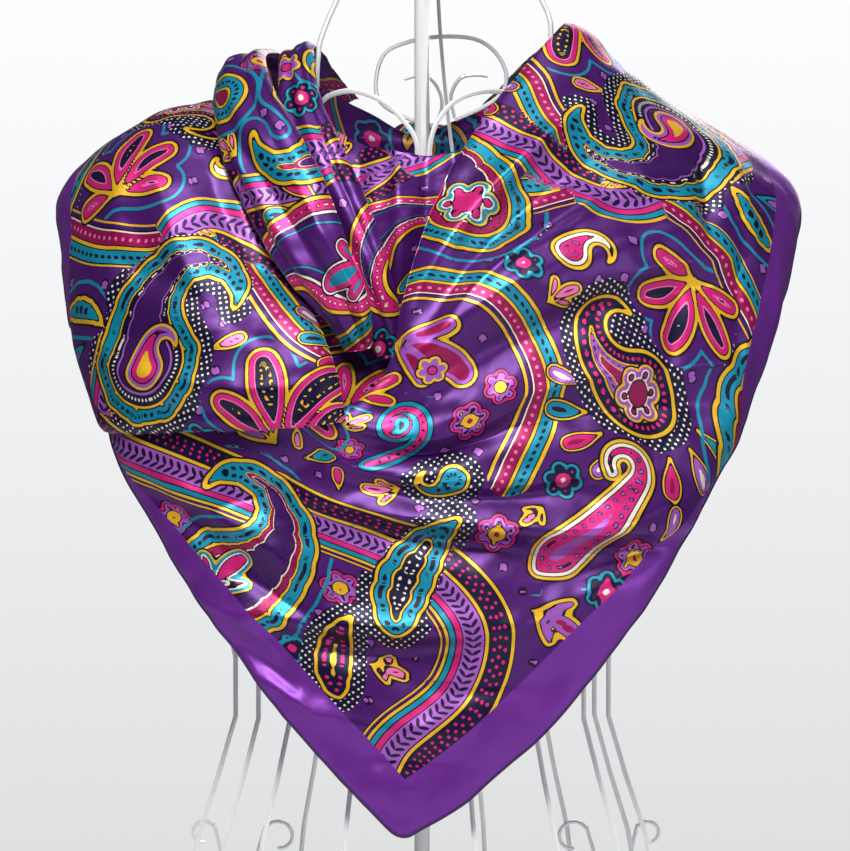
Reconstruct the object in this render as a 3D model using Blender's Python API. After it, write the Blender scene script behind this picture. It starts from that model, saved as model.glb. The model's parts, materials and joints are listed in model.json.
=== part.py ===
"""Square satin scarf, 90 cm, folded to a cowl and draped on a white wire dress form.

Run it with: blender --background --python part.py

Units are metres. +Z is up, the scarf's front looks along -Y and +X is to the right
as seen from the front. The origin is the middle of the round base's underside.
Tables are in millimetres: x to the right, z above the base's underside, and d, how
far the point lies in front of the pole's axis (d = -y).
"""

import math
from collections import namedtuple

import bmesh
import bpy
import numpy as np

MM = 0.001

# ---------------------------------------------------------------- driving dimensions
CLOTH_WALL = 1.6 * MM
FIT_GAP = 0.4 * MM

WIRE_RADIUS = 1.8 * MM
FINE_WIRE_RADIUS = 1.4 * MM
POLE_RADIUS = 5.0 * MM
BASE_RADIUS = 125.0 * MM
BASE_HEIGHT = 10.0 * MM
BASE_EDGE = 3.0 * MM
COLLAR_RADIUS = 15.0 * MM
COLLAR_HEIGHT = 16.0 * MM
HUB_RADIUS = 11.0 * MM
HUB_HEIGHT = 12.0 * MM
NECK_RING_Z = 830.0 * MM
NECK_RING_RADIUS = 44.0 * MM
NECK_RING_X = 8.0 * MM
CAP_HEIGHT = 4.0 * MM
HIP_Z = 120.0 * MM
YOKE_Z = 664.0 * MM

WIRE_SIDES = 6
ROUND_SIDES = 40

# ------------------------------------------------------------------------ the form
# Outline of the wire cage at each height: half width, and depth to front and back.
Level = namedtuple("Level", "z half_width front back")
CAGE = (
    Level(z=120, half_width=163, front=112, back=108),
    Level(z=230, half_width=149, front=100, back=96),
    Level(z=322, half_width=122, front=74, back=72),
    Level(z=410, half_width=134, front=78, back=76),
    Level(z=520, half_width=160, front=84, back=84),
    Level(z=600, half_width=166, front=72, back=78),
    Level(z=664, half_width=154, front=56, back=62),
)

# Each upright rib: how far across the cage it stands (-1 left, 1 right) and its side.
Rib = namedtuple("Rib", "name across side")
RIBS = (
    Rib("rib_front_1", -0.87, "front"),
    Rib("rib_front_2", -0.70, "front"),
    Rib("rib_front_3", -0.34, "front"),
    Rib("rib_front_4", 0.23, "front"),
    Rib("rib_front_5", 0.59, "front"),
    Rib("rib_front_6", 0.86, "front"),
    Rib("rib_side_left", -1.0, "back"),
    Rib("rib_side_right", 1.0, "front"),
    Rib("rib_back_1", -0.54, "back"),
    Rib("rib_back_2", 0.28, "back"),
    Rib("rib_back_3", 0.66, "back"),
    Rib("rib_back_4", 0.93, "back"),
)

# Wires of the neck and the scrolls, as the points that each bent wire runs through.
Wire = namedtuple("Wire", "name radius points")
NECK_WIRES = (
    Wire("neck_left", WIRE_RADIUS,
         ((-153, 668, 0), (-110, 698, 2), (-74, 718, 4), (-69, 745, 4), (-67, 760, 4), (-58, 783, 2),
          (-36, 827.5, 0))),
    Wire("neck_right", WIRE_RADIUS,
         ((153, 668, 0), (116, 697, 2), (86, 720, 4), (85, 757, 5), (81, 783, 2), (52, 827.5, 0))),
    Wire("neck_front", WIRE_RADIUS,
         ((1, 666.3, 56), (1, 690, 55), (1, 716, 51), (3, 765, 45), (6, 805, 43), (8, 827.7, 43.5))),
    Wire("neck_back", FINE_WIRE_RADIUS,
         ((24, 666.4, -61), (20, 692, -60), (16, 725, -56), (12, 770, -49), (9, 827.7, -43.5))),
    Wire("arc_left", WIRE_RADIUS,
         ((-3.4, 666.3, 56), (-3.4, 690, 55), (-12, 705, 53), (-26, 718, 49), (-44, 725, 41), (-60, 723, 28),
          (-69, 716, 14))),
    Wire("arc_right", WIRE_RADIUS,
         ((5.4, 666.3, 56), (5.4, 690, 55), (11, 706, 53), (23, 719, 49), (42, 725, 41), (60, 723, 28),
          (78, 715, 14))),
    Wire("oval", FINE_WIRE_RADIUS,
         ((9, 706, -57.5), (-12, 713, -60), (-27, 722, -60), (-31, 735, -60), (-26, 754, -58), (-12, 762, -56),
          (10, 766, -52.8), (34, 765, -54.5), (48, 757, -57), (56, 743, -58), (54, 730, -60), (42, 720, -60),
          (22, 711, -61))),
    Wire("curl_left", FINE_WIRE_RADIUS,
         ((9, 708, -60), (13, 718, -60), (12.3, 728, -59), (6, 738, -58), (-4, 740, -58), (-12, 738, -58))),
    Wire("curl_right", FINE_WIRE_RADIUS,
         ((22, 712, -64.2), (19.5, 722, -62), (20, 730, -60), (26, 739, -58), (36, 741, -58), (44, 740, -58))),
)

# A hip scroll is two curls from one foot on the hip hoop: the hand, reach and radius of each.
SCROLL_TURNS = ((1, 26, 11.0), (-1, 20, 8.5))
SCROLL_FEET = (-0.76, 0.79)
SCROLL_TOP_Z = 243

# ------------------------------------------------------------------------ the cloth
# A section runs from its a end to its b end and stands proud of that line by its bow.
# Its dip lets it sag under the neckline, where sections fan out from the V's foot.
Section = namedtuple("Section", "ax az ad bx bz bd bow_x bow_z bow_d full dip", defaults=(0,))
DIP_X = -40
DIP_REACH_LEFT = 52
DIP_REACH_RIGHT = 110

# From the rounded lower corner up the front, over the right shoulder to the nape.
FRONT_PANEL = (
    Section(-26, 248, 113, -2, 243, 113, 0, -2, 0, 1.0),
    Section(-62, 290, 112, 32, 268, 113, 0, -2, 4, 0.8),
    Section(-105, 341, 106, 90, 322, 108, 0, 0, 10, 0.7),
    Section(-144, 393, 92, 142, 387, 94, 0, 0, 28, 0.6),
    Section(-172, 438, 74, 176, 444, 76, 0, 0, 48, 0.6, 5),
    Section(-193, 476, 58, 198, 482, 58, 0, 0, 67, 0.6, 16),
    Section(-204, 510, 50, 208, 506, 48, 0, 0, 78, 0.6, 37),
    Section(-188, 537, 68, 216, 530, 42, 2, 0, 72, 0.6, 55),
    Section(-150, 546, 95, 224, 552, 35, 8, 2, 58, 0.6, 62),
    Section(-112, 559, 109, 232, 574, 28, 12, 4, 50, 0.6, 64),
    Section(-78, 567, 117, 240, 596, 18, 16, 7, 45, 0.62, 63),
    Section(-50, 557, 124, 245, 618, 6, 18, 12, 42, 0.64, 40),
    Section(-25, 540, 127, 249, 645, -10, 24, 31, 39, 0.68),
    Section(-10, 584, 117, 242, 668, -30, 30, 28, 34, 0.72),
    Section(4, 640, 103, 215, 682, -58, 38, 32, 30, 0.75),
    Section(30, 690, 84, 176, 688, -82, 38, 36, 22, 0.8),
    Section(62, 734, 56, 128, 686, -100, 44, 28, 22, 0.8),
    Section(94, 771, 20, 92, 682, -110, 30, 14, 4, 0.8),
    Section(72.5, 752, -38, 58, 680, -115, 20, 8, -16, 0.8),
    Section(44.5, 726, -78, 34, 682, -117, 6, 4, -12, 0.8),
    Section(22, 708, -106, 17, 686, -118, 0, 2, -4, 0.8),
)

# From the crossing fold at the left of the neckline over the left shoulder to the nape.
LEFT_DRAPE = (
    Section(-49, 511, 132, -211, 500, 56, -10, -2, 24, 0.62),
    Section(-53, 536, 129, -222, 538, 45, -12, 2, 26, 0.62),
    Section(-64, 566, 117, -232, 586, 26, -12, 8, 31, 0.65),
    Section(-80, 606, 88, -238, 628, 8, -12, 14, 34, 0.68),
    Section(-96, 648, 66, -240, 655, -12, -14, 18, 33, 0.7),
    Section(-107, 684, 40, -222, 676, -40, -16, 20, 30, 0.75),
    Section(-113, 706, 10, -186, 686, -68, -16, 20, 20, 0.8),
    Section(-111, 718, -20, -140, 687, -92, -14, 14, 6, 0.8),
    Section(-92, 716, -56, -94, 684, -108, -10, 8, -9, 0.8),
    Section(-58, 706, -92, -52, 682, -116, -4, 4, -10, 0.8),
    Section(-24, 702, -108, -20, 684, -119, 0, 2, -4, 0.8),
)

# The cowl's inner layer in front of the neck, top edge first.
INNER_COWL = (
    Section(-66, 710, 34, 66, 708, 50, 2, -27, 34, 0.7),
    Section(-66, 684, 56, 60, 684, 60, 2, -20, 26, 0.7),
    Section(-66, 642, 76, 44, 640, 75, 2, -4, 13, 0.7),
    Section(-76, 590, 84, 22, 588, 85, 0, 0, 5, 0.8),
    Section(-84, 545, 82, 4, 540, 86, 0, 0, 4, 0.8),
    Section(-82, 500, 85, -6, 496, 88, 0, 0, 4, 0.8),
)

# The band behind the neck, left end first.
NECK_BAND = (
    Section(-76, 734, -18, -72, 694, -22, -3, 0, 0, 0.8),
    Section(-62, 730, -46, -58, 690, -48, -3, 0, -3, 0.8),
    Section(-38, 716, -66, -36, 684, -66, -2, 0, -4, 0.8),
    Section(-6, 702, -75, -6, 676, -74, 0, 0, -4, 0.8),
    Section(28, 712, -73, 26, 680, -72, 1, 0, -4, 0.8),
    Section(54, 728, -64, 50, 688, -64, 3, 0, -4, 0.8),
    Section(68, 738, -42, 62, 698, -44, 3, 0, -3, 0.8),
)

# A rolled fold: the middle of its crest, its width and how far it stands up.
Station = namedtuple("Station", "x z d width height")
OUTER_ROLL = (
    Station(-42, 554, 104, 12, 5),
    Station(-52, 580, 117, 24, 8),
    Station(-70, 610, 122, 38, 12),
    Station(-95, 656, 109, 48, 14),
    Station(-117, 700, 84, 48, 15),
    Station(-127, 738, 42, 41, 15),
    Station(-120, 748, -8, 36, 13),
    Station(-98, 740, -54, 32, 10),
    Station(-66, 721.5, -92, 26, 7),
)
INNER_ROLL = (
    Station(-22, 550, 100, 10, 4),
    Station(-30, 578, 106, 22, 7),
    Station(-45, 618, 103, 32, 11),
    Station(-66, 668, 87, 36, 13),
    Station(-83, 716, 60, 32, 13),
    Station(-87, 753, 24, 27, 11),
    Station(-82, 754, -14, 22, 8),
    Station(-68, 740, -44, 18, 6),
    Station(-48, 724, -66, 16, 4),
)
ROLL_CENTRE = (0, 600, 0)
ROLL_HALF_TURN = math.radians(86)

# The tied ends at the nape.
KNOT_CENTRE = (0, 694, -129)
KNOT_HALF = (31, 20, 12.5)
TAIL_LEFT = (
    Section(-14, 673.4, -129, -2, 673.4, -129, 0, 0, -3, 0.8),
    Section(-30, 650, -126, -2, 645, -130, 0, 0, -8, 0.8),
    Section(-52, 608, -120, -6, 600, -124, 0, 0, -10, 0.8),
    Section(-66, 570, -117, -22, 556, -120, 0, 0, -7, 0.8),
    Section(-58, 537, -115, -50, 532, -115, 0, 0, -1, 0.8),
)
TAIL_RIGHT = (
    Section(3, 673.4, -129, 15, 673.4, -129, 0, 0, -3, 0.8),
    Section(4, 648, -130, 32, 652, -126, 0, 0, -8, 0.8),
    Section(10, 614, -125, 54, 622, -120, 0, 0, -10, 0.8),
    Section(28, 578, -121, 70, 588, -117, 0, 0, -7, 0.8),
    Section(55, 558, -116, 63, 562, -116, 0, 0, -1, 0.8),
)

# A fold runs between two points seen from the front, bends sideways by bend at its
# middle, and stands up from the cloth by height, or sinks where that is below zero.
Fold = namedtuple("Fold", "x0 z0 x1 z1 bend height width")
FRONT_FOLDS = (
    Fold(-14, 545, 196, 640, 16, 7, 15),
    Fold(-4, 524, 222, 588, 12, -5, 13),
    Fold(2, 506, 205, 540, 6, 6, 15),
    Fold(-79, 458, 150, 442, -14, -4, 12),
    Fold(-204, 496, -62, 402, 0, 5, 13),
    Fold(-108, 378, 52, 372, -8, 4, 13),
    Fold(208, 640, 194, 480, 6, 5, 12),
)
LEFT_FOLDS = (
    Fold(-62, 522, -212, 548, 7, 5, 10),
    Fold(-70, 556, -230, 600, 9, -4, 11),
    Fold(-82, 598, -226, 656, 9, 6, 11),
)

PURPLE = (0.105, 0.023, 0.223, 1.0)
WHITE_PAINT = (0.86, 0.87, 0.88, 1.0)


# -------------------------------------------------------------------- shape helpers
def clear_scene():
    """Remove every object that the file opened with."""
    for item in list(bpy.data.objects):
        bpy.data.objects.remove(item, do_unlink=True)


def make_material(name, color, roughness, metallic=0.0):
    """Return a plain Principled material."""
    material = bpy.data.materials.new(name)
    material.use_nodes = True
    shader = material.node_tree.nodes["Principled BSDF"]
    shader.inputs["Base Color"].default_value = color
    shader.inputs["Roughness"].default_value = roughness
    shader.inputs["Metallic"].default_value = metallic
    return material


def through(knots, samples):
    """Return samples rows read evenly from a smooth curve through the rows of knots."""
    knots = np.asarray(knots, dtype=float)
    padded = np.vstack((2 * knots[0] - knots[1], knots, 2 * knots[-1] - knots[-2]))
    place = np.linspace(0.0, len(knots) - 1.0, samples)
    start = np.minimum(place.astype(int), len(knots) - 2)
    t = (place - start)[:, None]
    p0, p1, p2, p3 = (padded[start + step] for step in range(4))
    return 0.5 * (2 * p1 + (p2 - p0) * t + (2 * p0 - 5 * p1 + 4 * p2 - p3) * t ** 2
                  + (3 * p1 - 3 * p2 + p3 - p0) * t ** 3)


def world(points):
    """Turn (x, z, d) millimetres into world metres."""
    points = np.asarray(points, dtype=float)
    return np.stack((points[..., 0], -points[..., 2], points[..., 1]), axis=-1) * MM


def unit(vectors):
    """Return vectors scaled to length one."""
    return vectors / np.maximum(np.linalg.norm(vectors, axis=-1, keepdims=True), 1e-12)


def grid_normals(grid, outward_from):
    """Return the unit normals of a grid of points, turned away from a middle point."""
    along = np.gradient(grid, axis=0)
    across = np.gradient(grid, axis=1)
    normals = unit(np.cross(along, across))
    middle = grid.shape[0] // 3, grid.shape[1] // 2
    facing = np.dot(normals[middle], grid[middle] - outward_from)
    return normals if facing > 0 else -normals


def section_grid(sections, rows, columns):
    """Loft sections: rows along the table, columns from each a end to its b end."""
    table = through(sections, rows)
    even = np.linspace(0.0, 1.0, columns)
    turn = (math.pi * even + np.arccos(1 - 2 * even)) / 2
    step = ((1 - np.cos(turn)) / 2)[None, :, None]
    a_end, b_end, bow = (table[:, None, k:k + 3] for k in (0, 3, 6))
    swell = np.sin(turn)[None, :, None].clip(0) ** (2 * table[:, None, 9:10])
    points = a_end + (b_end - a_end) * step + bow * swell
    off = points[..., 0] - DIP_X
    reach = np.where(off < 0, DIP_REACH_LEFT, DIP_REACH_RIGHT)
    points[..., 1] -= table[:, 10:11] * np.exp(-(off / reach) ** 2)
    return world(points)


def fold_relief(grid, normals, folds):
    """Push a grid along its normals where folds cross its front."""
    x, z = grid[..., 0] / MM, grid[..., 2] / MM
    relief = np.zeros(x.shape)
    for fold in folds:
        run = np.array((fold.x1 - fold.x0, fold.z1 - fold.z0), dtype=float)
        length = np.hypot(*run)
        run /= length
        along = ((x - fold.x0) * run[0] + (z - fold.z0) * run[1]) / length
        off = (z - fold.z0) * run[0] - (x - fold.x0) * run[1]
        reach = along.clip(0, 1)
        off = off - fold.bend * 4 * reach * (1 - reach)
        ends = np.sin(math.pi * reach) ** 0.7 * (along > 0) * (along < 1)
        relief += fold.height * np.exp(-(off / fold.width) ** 2) * ends
    front = (-normals[..., 1]).clip(0, 1)
    return grid + normals * (relief * front * MM)[..., None]


def roll_grid(stations, rows, columns):
    """Sweep a rolled fold's arched section along its stations."""
    table = through(stations, rows)
    crest = world(table[:, :3])
    tangent = unit(np.gradient(crest, axis=0))
    outward = crest - world(ROLL_CENTRE)
    outward = unit(outward - (outward * tangent).sum(axis=1, keepdims=True) * tangent)
    side = np.cross(tangent, outward)
    turn = np.linspace(-ROLL_HALF_TURN, ROLL_HALF_TURN, columns)
    half_width = table[:, 3, None] / 2 * np.sin(turn)[None, :] * MM
    drop = table[:, 4, None] * (1 - np.cos(turn))[None, :] * MM
    return crest[:, None] + side[:, None] * half_width[..., None] - outward[:, None] * drop[..., None]


def add_mesh(name, vertices, faces, material, smooth=True):
    """Make a closed mesh object with its faces pointing out."""
    mesh = bpy.data.meshes.new(name)
    mesh.from_pydata([tuple(point) for point in vertices], [], faces)
    work = bmesh.new()
    work.from_mesh(mesh)
    bmesh.ops.remove_doubles(work, verts=work.verts, dist=1e-6)
    bmesh.ops.recalc_face_normals(work, faces=work.faces)
    work.to_mesh(mesh)
    work.free()
    mesh.materials.append(material)
    if smooth:
        mesh.shade_smooth()
        mesh.set_sharp_from_angle(angle=math.radians(50))
    item = bpy.data.objects.new(name, mesh)
    bpy.context.scene.collection.objects.link(item)
    return item


def add_wall(name, grid, normals, material):
    """Make a closed cloth wall: the grid is its outside and it is CLOTH_WALL thick."""
    rows, columns = grid.shape[:2]
    inside = grid - normals * CLOTH_WALL
    vertices = np.vstack((grid.reshape(-1, 3), inside.reshape(-1, 3)))
    count = rows * columns

    def at(row, column, layer):
        return layer * count + row * columns + column

    faces = []
    for row in range(rows - 1):
        for column in range(columns - 1):
            ring = ((row, column), (row + 1, column), (row + 1, column + 1), (row, column + 1))
            faces.append([at(r, c, 0) for r, c in ring])
            faces.append([at(r, c, 1) for r, c in reversed(ring)])
    edge = [(0, c) for c in range(columns)] + [(r, columns - 1) for r in range(1, rows)]
    edge += [(rows - 1, c) for c in range(columns - 2, -1, -1)] + [(r, 0) for r in range(rows - 2, 0, -1)]
    for (r0, c0), (r1, c1) in zip(edge, edge[1:] + edge[:1]):
        faces.append([at(r0, c0, 0), at(r1, c1, 0), at(r1, c1, 1), at(r0, c0, 1)])
    return add_mesh(name, vertices, faces, material)


def add_tube(name, path, radius, material, closed=False, sides=WIRE_SIDES):
    """Sweep a round wire along a path of world points, with flat ends."""
    path = np.asarray(path, dtype=float)
    if closed:
        tangent = unit(np.roll(path, -1, axis=0) - np.roll(path, 1, axis=0))
    else:
        tangent = unit(np.gradient(path, axis=0))
    guide = np.array((0.0, 0.0, 1.0)) if abs(tangent[0][2]) < 0.9 else np.array((0.0, 1.0, 0.0))
    rings = []
    for point, along in zip(path, tangent):
        first = unit(guide - along * np.dot(guide, along))
        guide = first
        second = np.cross(along, first)
        for k in range(sides):
            angle = 2 * math.pi * k / sides
            rings.append(point + radius * (first * math.cos(angle) + second * math.sin(angle)))
    count = len(path)
    faces = []
    for ring in range(count if closed else count - 1):
        following = (ring + 1) % count
        for k in range(sides):
            nxt = (k + 1) % sides
            faces.append([ring * sides + k, ring * sides + nxt, following * sides + nxt, following * sides + k])
    if not closed:
        faces.append(list(range(sides))[::-1])
        faces.append([(count - 1) * sides + k for k in range(sides)])
    return add_mesh(name, rings, faces, material)


def add_turned(name, profile, material, centre=(0.0, 0.0), sides=ROUND_SIDES):
    """Turn a closed (radius, z) profile, which runs from axis to axis, about the vertical."""
    vertices, faces = [], []
    for radius, z in profile[1:-1]:
        for k in range(sides):
            angle = 2 * math.pi * k / sides
            vertices.append((centre[0] + radius * math.cos(angle), centre[1] + radius * math.sin(angle), z))
    rings = len(profile) - 2
    for ring in range(rings - 1):
        for k in range(sides):
            nxt = (k + 1) % sides
            faces.append([ring * sides + k, ring * sides + nxt, (ring + 1) * sides + nxt, (ring + 1) * sides + k])
    faces.append(list(range(sides))[::-1])
    faces.append([(rings - 1) * sides + k for k in range(sides)])
    return add_mesh(name, vertices, faces, material)


# ----------------------------------------------------------------------- dress form
def cage_at(heights):
    """Return the cage's half width, front and back depth in metres at heights."""
    table = through(CAGE, 121) * MM
    return [np.interp(heights, table[:, 0], table[:, column]) for column in (1, 2, 3)]


def rib_path(rib):
    """Return the points of one upright rib, from the hip hoop to the yoke hoop."""
    reach = WIRE_RADIUS + 2 * FIT_GAP
    heights = np.linspace(HIP_Z + reach, YOKE_Z - reach, 15)
    half_width, front, back = cage_at(heights)
    share = math.sqrt(1 - rib.across ** 2)
    depth = -front * share if rib.side == "front" else back * share
    return np.stack((half_width * rib.across, depth, heights), axis=1)


def hoop_path(height, points):
    """Return a closed oval hoop of the cage at a height."""
    half_width, front, back = (float(value) for value in cage_at(height))
    angles = np.linspace(0, 2 * math.pi, points, endpoint=False)
    depth = np.where(np.cos(angles) > 0, front, back)
    return np.stack((half_width * np.sin(angles), -depth * np.cos(angles), np.full(points, height)), axis=1)


def hip_scroll(foot, hand, reach, radius):
    """Return a wire that rises from the hip hoop at foot and ends in a curl."""
    half_width, _, back = (float(value) for value in cage_at(HIP_Z))
    depth = back * math.sqrt(1 - foot ** 2)
    start_x = half_width * foot + hand * (WIRE_RADIUS + FIT_GAP)
    start_z = HIP_Z + WIRE_RADIUS + 1.5 * FIT_GAP
    centre = start_x + hand * reach * MM, SCROLL_TOP_Z * MM - radius * MM
    stem = [(start_x, start_z), (start_x, (start_z + centre[1]) / 2)]
    curl = []
    for k in range(9):
        angle = math.pi * (1.0 - k / 5.2)
        shrink = radius * MM * (1 - 0.035 * k)
        curl.append((centre[0] + hand * shrink * math.cos(angle), centre[1] + shrink * math.sin(angle)))
    path = through(stem + curl, 24)
    lean = np.interp(path[:, 1], (HIP_Z, SCROLL_TOP_Z * MM), (depth, depth - 12 * MM))
    return np.stack((path[:, 0], lean, path[:, 1]), axis=1)


def build_form(paint):
    """Make the whole wire dress form with its pole and base."""
    edge = BASE_EDGE
    add_turned("base", ((0, 0), (BASE_RADIUS - edge, 0), (BASE_RADIUS, edge),
                        (BASE_RADIUS, BASE_HEIGHT - edge), (BASE_RADIUS - edge, BASE_HEIGHT),
                        (0, BASE_HEIGHT)), paint)
    collar_z = BASE_HEIGHT + FIT_GAP
    add_turned("collar", ((0, collar_z), (COLLAR_RADIUS, collar_z),
                          (COLLAR_RADIUS, collar_z + COLLAR_HEIGHT - edge),
                          (COLLAR_RADIUS - edge, collar_z + COLLAR_HEIGHT), (0, collar_z + COLLAR_HEIGHT)),
               paint, sides=24)
    hub_low = HIP_Z - HUB_HEIGHT / 2
    pole_low = collar_z + COLLAR_HEIGHT + FIT_GAP
    pole_high = NECK_RING_Z - CAP_HEIGHT / 2 - FIT_GAP
    for name, low, high in (("pole_lower", pole_low, hub_low - FIT_GAP),
                            ("pole_upper", hub_low + HUB_HEIGHT + FIT_GAP, pole_high)):
        add_turned(name, ((0, low), (POLE_RADIUS, low), (POLE_RADIUS, high), (0, high)), paint, sides=16)
    add_turned("hub", ((0, hub_low), (HUB_RADIUS, hub_low), (HUB_RADIUS, hub_low + HUB_HEIGHT),
                       (0, hub_low + HUB_HEIGHT)), paint, sides=24)
    half_width, front, back = (float(value) for value in cage_at(HIP_Z))
    for name, tip in (("spoke_left", (-half_width, 0)), ("spoke_right", (half_width, 0)),
                      ("spoke_front", (0, -front)), ("spoke_back", (0, back))):
        tip = np.array(tip)
        way = tip / np.linalg.norm(tip)
        ends = way * (HUB_RADIUS + FIT_GAP), tip - way * (WIRE_RADIUS + FIT_GAP)
        add_tube(name, [(*end, HIP_Z) for end in ends], WIRE_RADIUS, paint)
    add_tube("hip_hoop", hoop_path(HIP_Z, 40), WIRE_RADIUS, paint, closed=True)
    add_tube("yoke_hoop", hoop_path(YOKE_Z, 40), WIRE_RADIUS, paint, closed=True)
    for rib in RIBS:
        add_tube(rib.name, rib_path(rib), WIRE_RADIUS, paint)
    for wire in NECK_WIRES:
        add_tube(wire.name, through(world(wire.points), 4 * len(wire.points) - 5), wire.radius, paint)
    for foot, word in zip(SCROLL_FEET, ("left", "right")):
        for (hand, reach, radius), part in zip(SCROLL_TURNS, ("large", "small")):
            hand = hand if foot < 0 else -hand
            add_tube(f"scroll_{word}_{part}", hip_scroll(foot, hand, reach, radius), FINE_WIRE_RADIUS, paint)
    angles = np.linspace(0, 2 * math.pi, 32, endpoint=False)
    ring = np.stack((NECK_RING_X + NECK_RING_RADIUS * np.cos(angles), NECK_RING_RADIUS * np.sin(angles),
                     np.full(32, NECK_RING_Z)), axis=1)
    add_tube("neck_ring", ring, WIRE_RADIUS, paint, closed=True)
    cap_radius = NECK_RING_RADIUS - WIRE_RADIUS - FIT_GAP
    low, high = NECK_RING_Z - CAP_HEIGHT / 2, NECK_RING_Z + CAP_HEIGHT / 2
    add_turned("neck_cap", ((0, low), (cap_radius, low), (cap_radius, high), (0, high)), paint,
               centre=(NECK_RING_X, 0), sides=32)


# --------------------------------------------------------------------------- scarf
def build_sheet(name, sections, rows, columns, folds, satin, outward_from=(0.0, 0.0, 0.55)):
    """Make one stretch of the scarf from its sections and its folds."""
    grid = section_grid(sections, rows, columns)
    normals = grid_normals(grid, np.array(outward_from))
    grid = fold_relief(grid, normals, folds)
    normals = grid_normals(grid, np.array(outward_from))
    return add_wall(name, grid, normals, satin)


def build_roll(name, stations, rows, columns, satin):
    """Make one rolled fold of the collar."""
    grid = roll_grid(stations, rows, columns)
    return add_wall(name, grid, grid_normals(grid, world(ROLL_CENTRE)), satin)


def build_knot(satin):
    """Make the rounded knot at the nape."""
    centre = world(KNOT_CENTRE)
    half = np.array(KNOT_HALF) * MM
    profile = np.linspace(-math.pi / 2, math.pi / 2, 10)
    vertices, faces = [], []
    sides = 16
    for tilt in profile[1:-1]:
        for k in range(sides):
            angle = 2 * math.pi * k / sides
            vertices.append(centre + half[[0, 2, 1]] * (math.sin(tilt), math.cos(tilt) * math.cos(angle),
                                                       math.cos(tilt) * math.sin(angle)))
    rings = len(profile) - 2
    for ring in range(rings - 1):
        for k in range(sides):
            nxt = (k + 1) % sides
            faces.append([ring * sides + k, ring * sides + nxt, (ring + 1) * sides + nxt, (ring + 1) * sides + k])
    faces.append(list(range(sides))[::-1])
    faces.append([(rings - 1) * sides + k for k in range(sides)])
    return add_mesh("knot", vertices, faces, satin)


def build_scarf(satin):
    """Make every stretch of the scarf."""
    build_sheet("front_panel", FRONT_PANEL, 44, 26, FRONT_FOLDS, satin)
    build_sheet("left_drape", LEFT_DRAPE, 23, 15, LEFT_FOLDS, satin)
    build_sheet("inner_cowl", INNER_COWL, 14, 12, (), satin)
    build_sheet("neck_band", NECK_BAND, 16, 8, (), satin)
    build_roll("outer_roll", OUTER_ROLL, 24, 11, satin)
    build_roll("inner_roll", INNER_ROLL, 24, 9, satin)
    build_knot(satin)
    build_sheet("tail_left", TAIL_LEFT, 12, 8, (), satin)
    build_sheet("tail_right", TAIL_RIGHT, 12, 8, (), satin)


def main():
    """Build the scarf and the form that it rests on."""
    clear_scene()
    build_form(make_material("white_paint", WHITE_PAINT, 0.25))
    build_scarf(make_material("satin", PURPLE, 0.35))


main()
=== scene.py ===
"""Looks of a square paisley satin scarf that is draped on a white wire dress form.

Units are metres in the scene. The tables are in millimetres: x to the right, z above the
base's underside, and d, how far the point lies in front of the pole's axis (d = -y).
On the flat square, u runs along the right hem and v along the left hem, both from the
corner that hangs in front.
"""

import json
import logging
import math
from dataclasses import dataclass, field
from enum import Enum
from typing import Callable, Iterable, NamedTuple, Optional, Sequence

import bmesh
import bpy
import numpy as np
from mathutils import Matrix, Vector

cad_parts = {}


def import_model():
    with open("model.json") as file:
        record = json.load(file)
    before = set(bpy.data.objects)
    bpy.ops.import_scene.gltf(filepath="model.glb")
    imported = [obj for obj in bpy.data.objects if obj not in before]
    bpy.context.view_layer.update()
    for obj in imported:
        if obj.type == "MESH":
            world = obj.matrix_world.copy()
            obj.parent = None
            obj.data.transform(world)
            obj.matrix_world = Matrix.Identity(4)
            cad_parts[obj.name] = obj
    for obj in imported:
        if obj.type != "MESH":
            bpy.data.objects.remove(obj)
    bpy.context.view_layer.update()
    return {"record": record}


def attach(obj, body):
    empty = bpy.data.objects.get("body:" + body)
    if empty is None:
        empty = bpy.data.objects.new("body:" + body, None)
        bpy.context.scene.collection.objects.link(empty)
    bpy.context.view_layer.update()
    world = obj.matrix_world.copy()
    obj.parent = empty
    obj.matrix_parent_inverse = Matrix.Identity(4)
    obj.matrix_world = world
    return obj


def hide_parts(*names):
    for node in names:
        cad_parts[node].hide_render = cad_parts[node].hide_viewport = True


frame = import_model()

MM = 0.001
# The flat square's side and its plain border's width, and how far dark lines are widened.
SQUARE = 900.0
BORDER = 33.0
OUTLINE = 0.3
# The mesh attributes that the print and the hem are coloured by.
CLOTH_PLACE = "cloth_place"
CLOTH_REVERSE = "cloth_reverse"
HEM_PLACE = "hem_place"
RIBBON_SIDE = "print_ribbon_side"
LOG = logging.getLogger("scarf")

Colour = tuple[float, float, float, float]
Socket = bpy.types.NodeSocket


def srgb(red: int, green: int, blue: int) -> Colour:
    """Turn a colour of the usual kind into a linear one.

    Args:
        red: Red, 0 to 255.
        green: Green, 0 to 255.
        blue: Blue, 0 to 255.

    Returns:
        The linear colour, opaque.
    """
    shares = (red / 255, green / 255, blue / 255)
    values = [share / 12.92 if share <= 0.04045 else ((share + 0.055) / 1.055) ** 2.4 for share in shares]
    return values[0], values[1], values[2], 1.0


class Ink(Enum):
    """The inks of the print and the dyes of the cloth."""

    PURPLE = srgb(66, 18, 98)
    PLUM = srgb(86, 28, 120)
    VIOLET = srgb(112, 44, 150)
    SHADE = srgb(24, 6, 34)
    SAFFRON = srgb(236, 184, 34)
    TURQUOISE = srgb(8, 142, 172)
    PINK = srgb(212, 34, 122)
    MAGENTA = srgb(156, 14, 82)
    LILAC = srgb(166, 92, 192)
    ROSE = srgb(234, 120, 182)
    NAVY = srgb(14, 14, 52)
    CREAM = srgb(240, 232, 216)


NO_INK = (0, 0, 0, 0)

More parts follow.
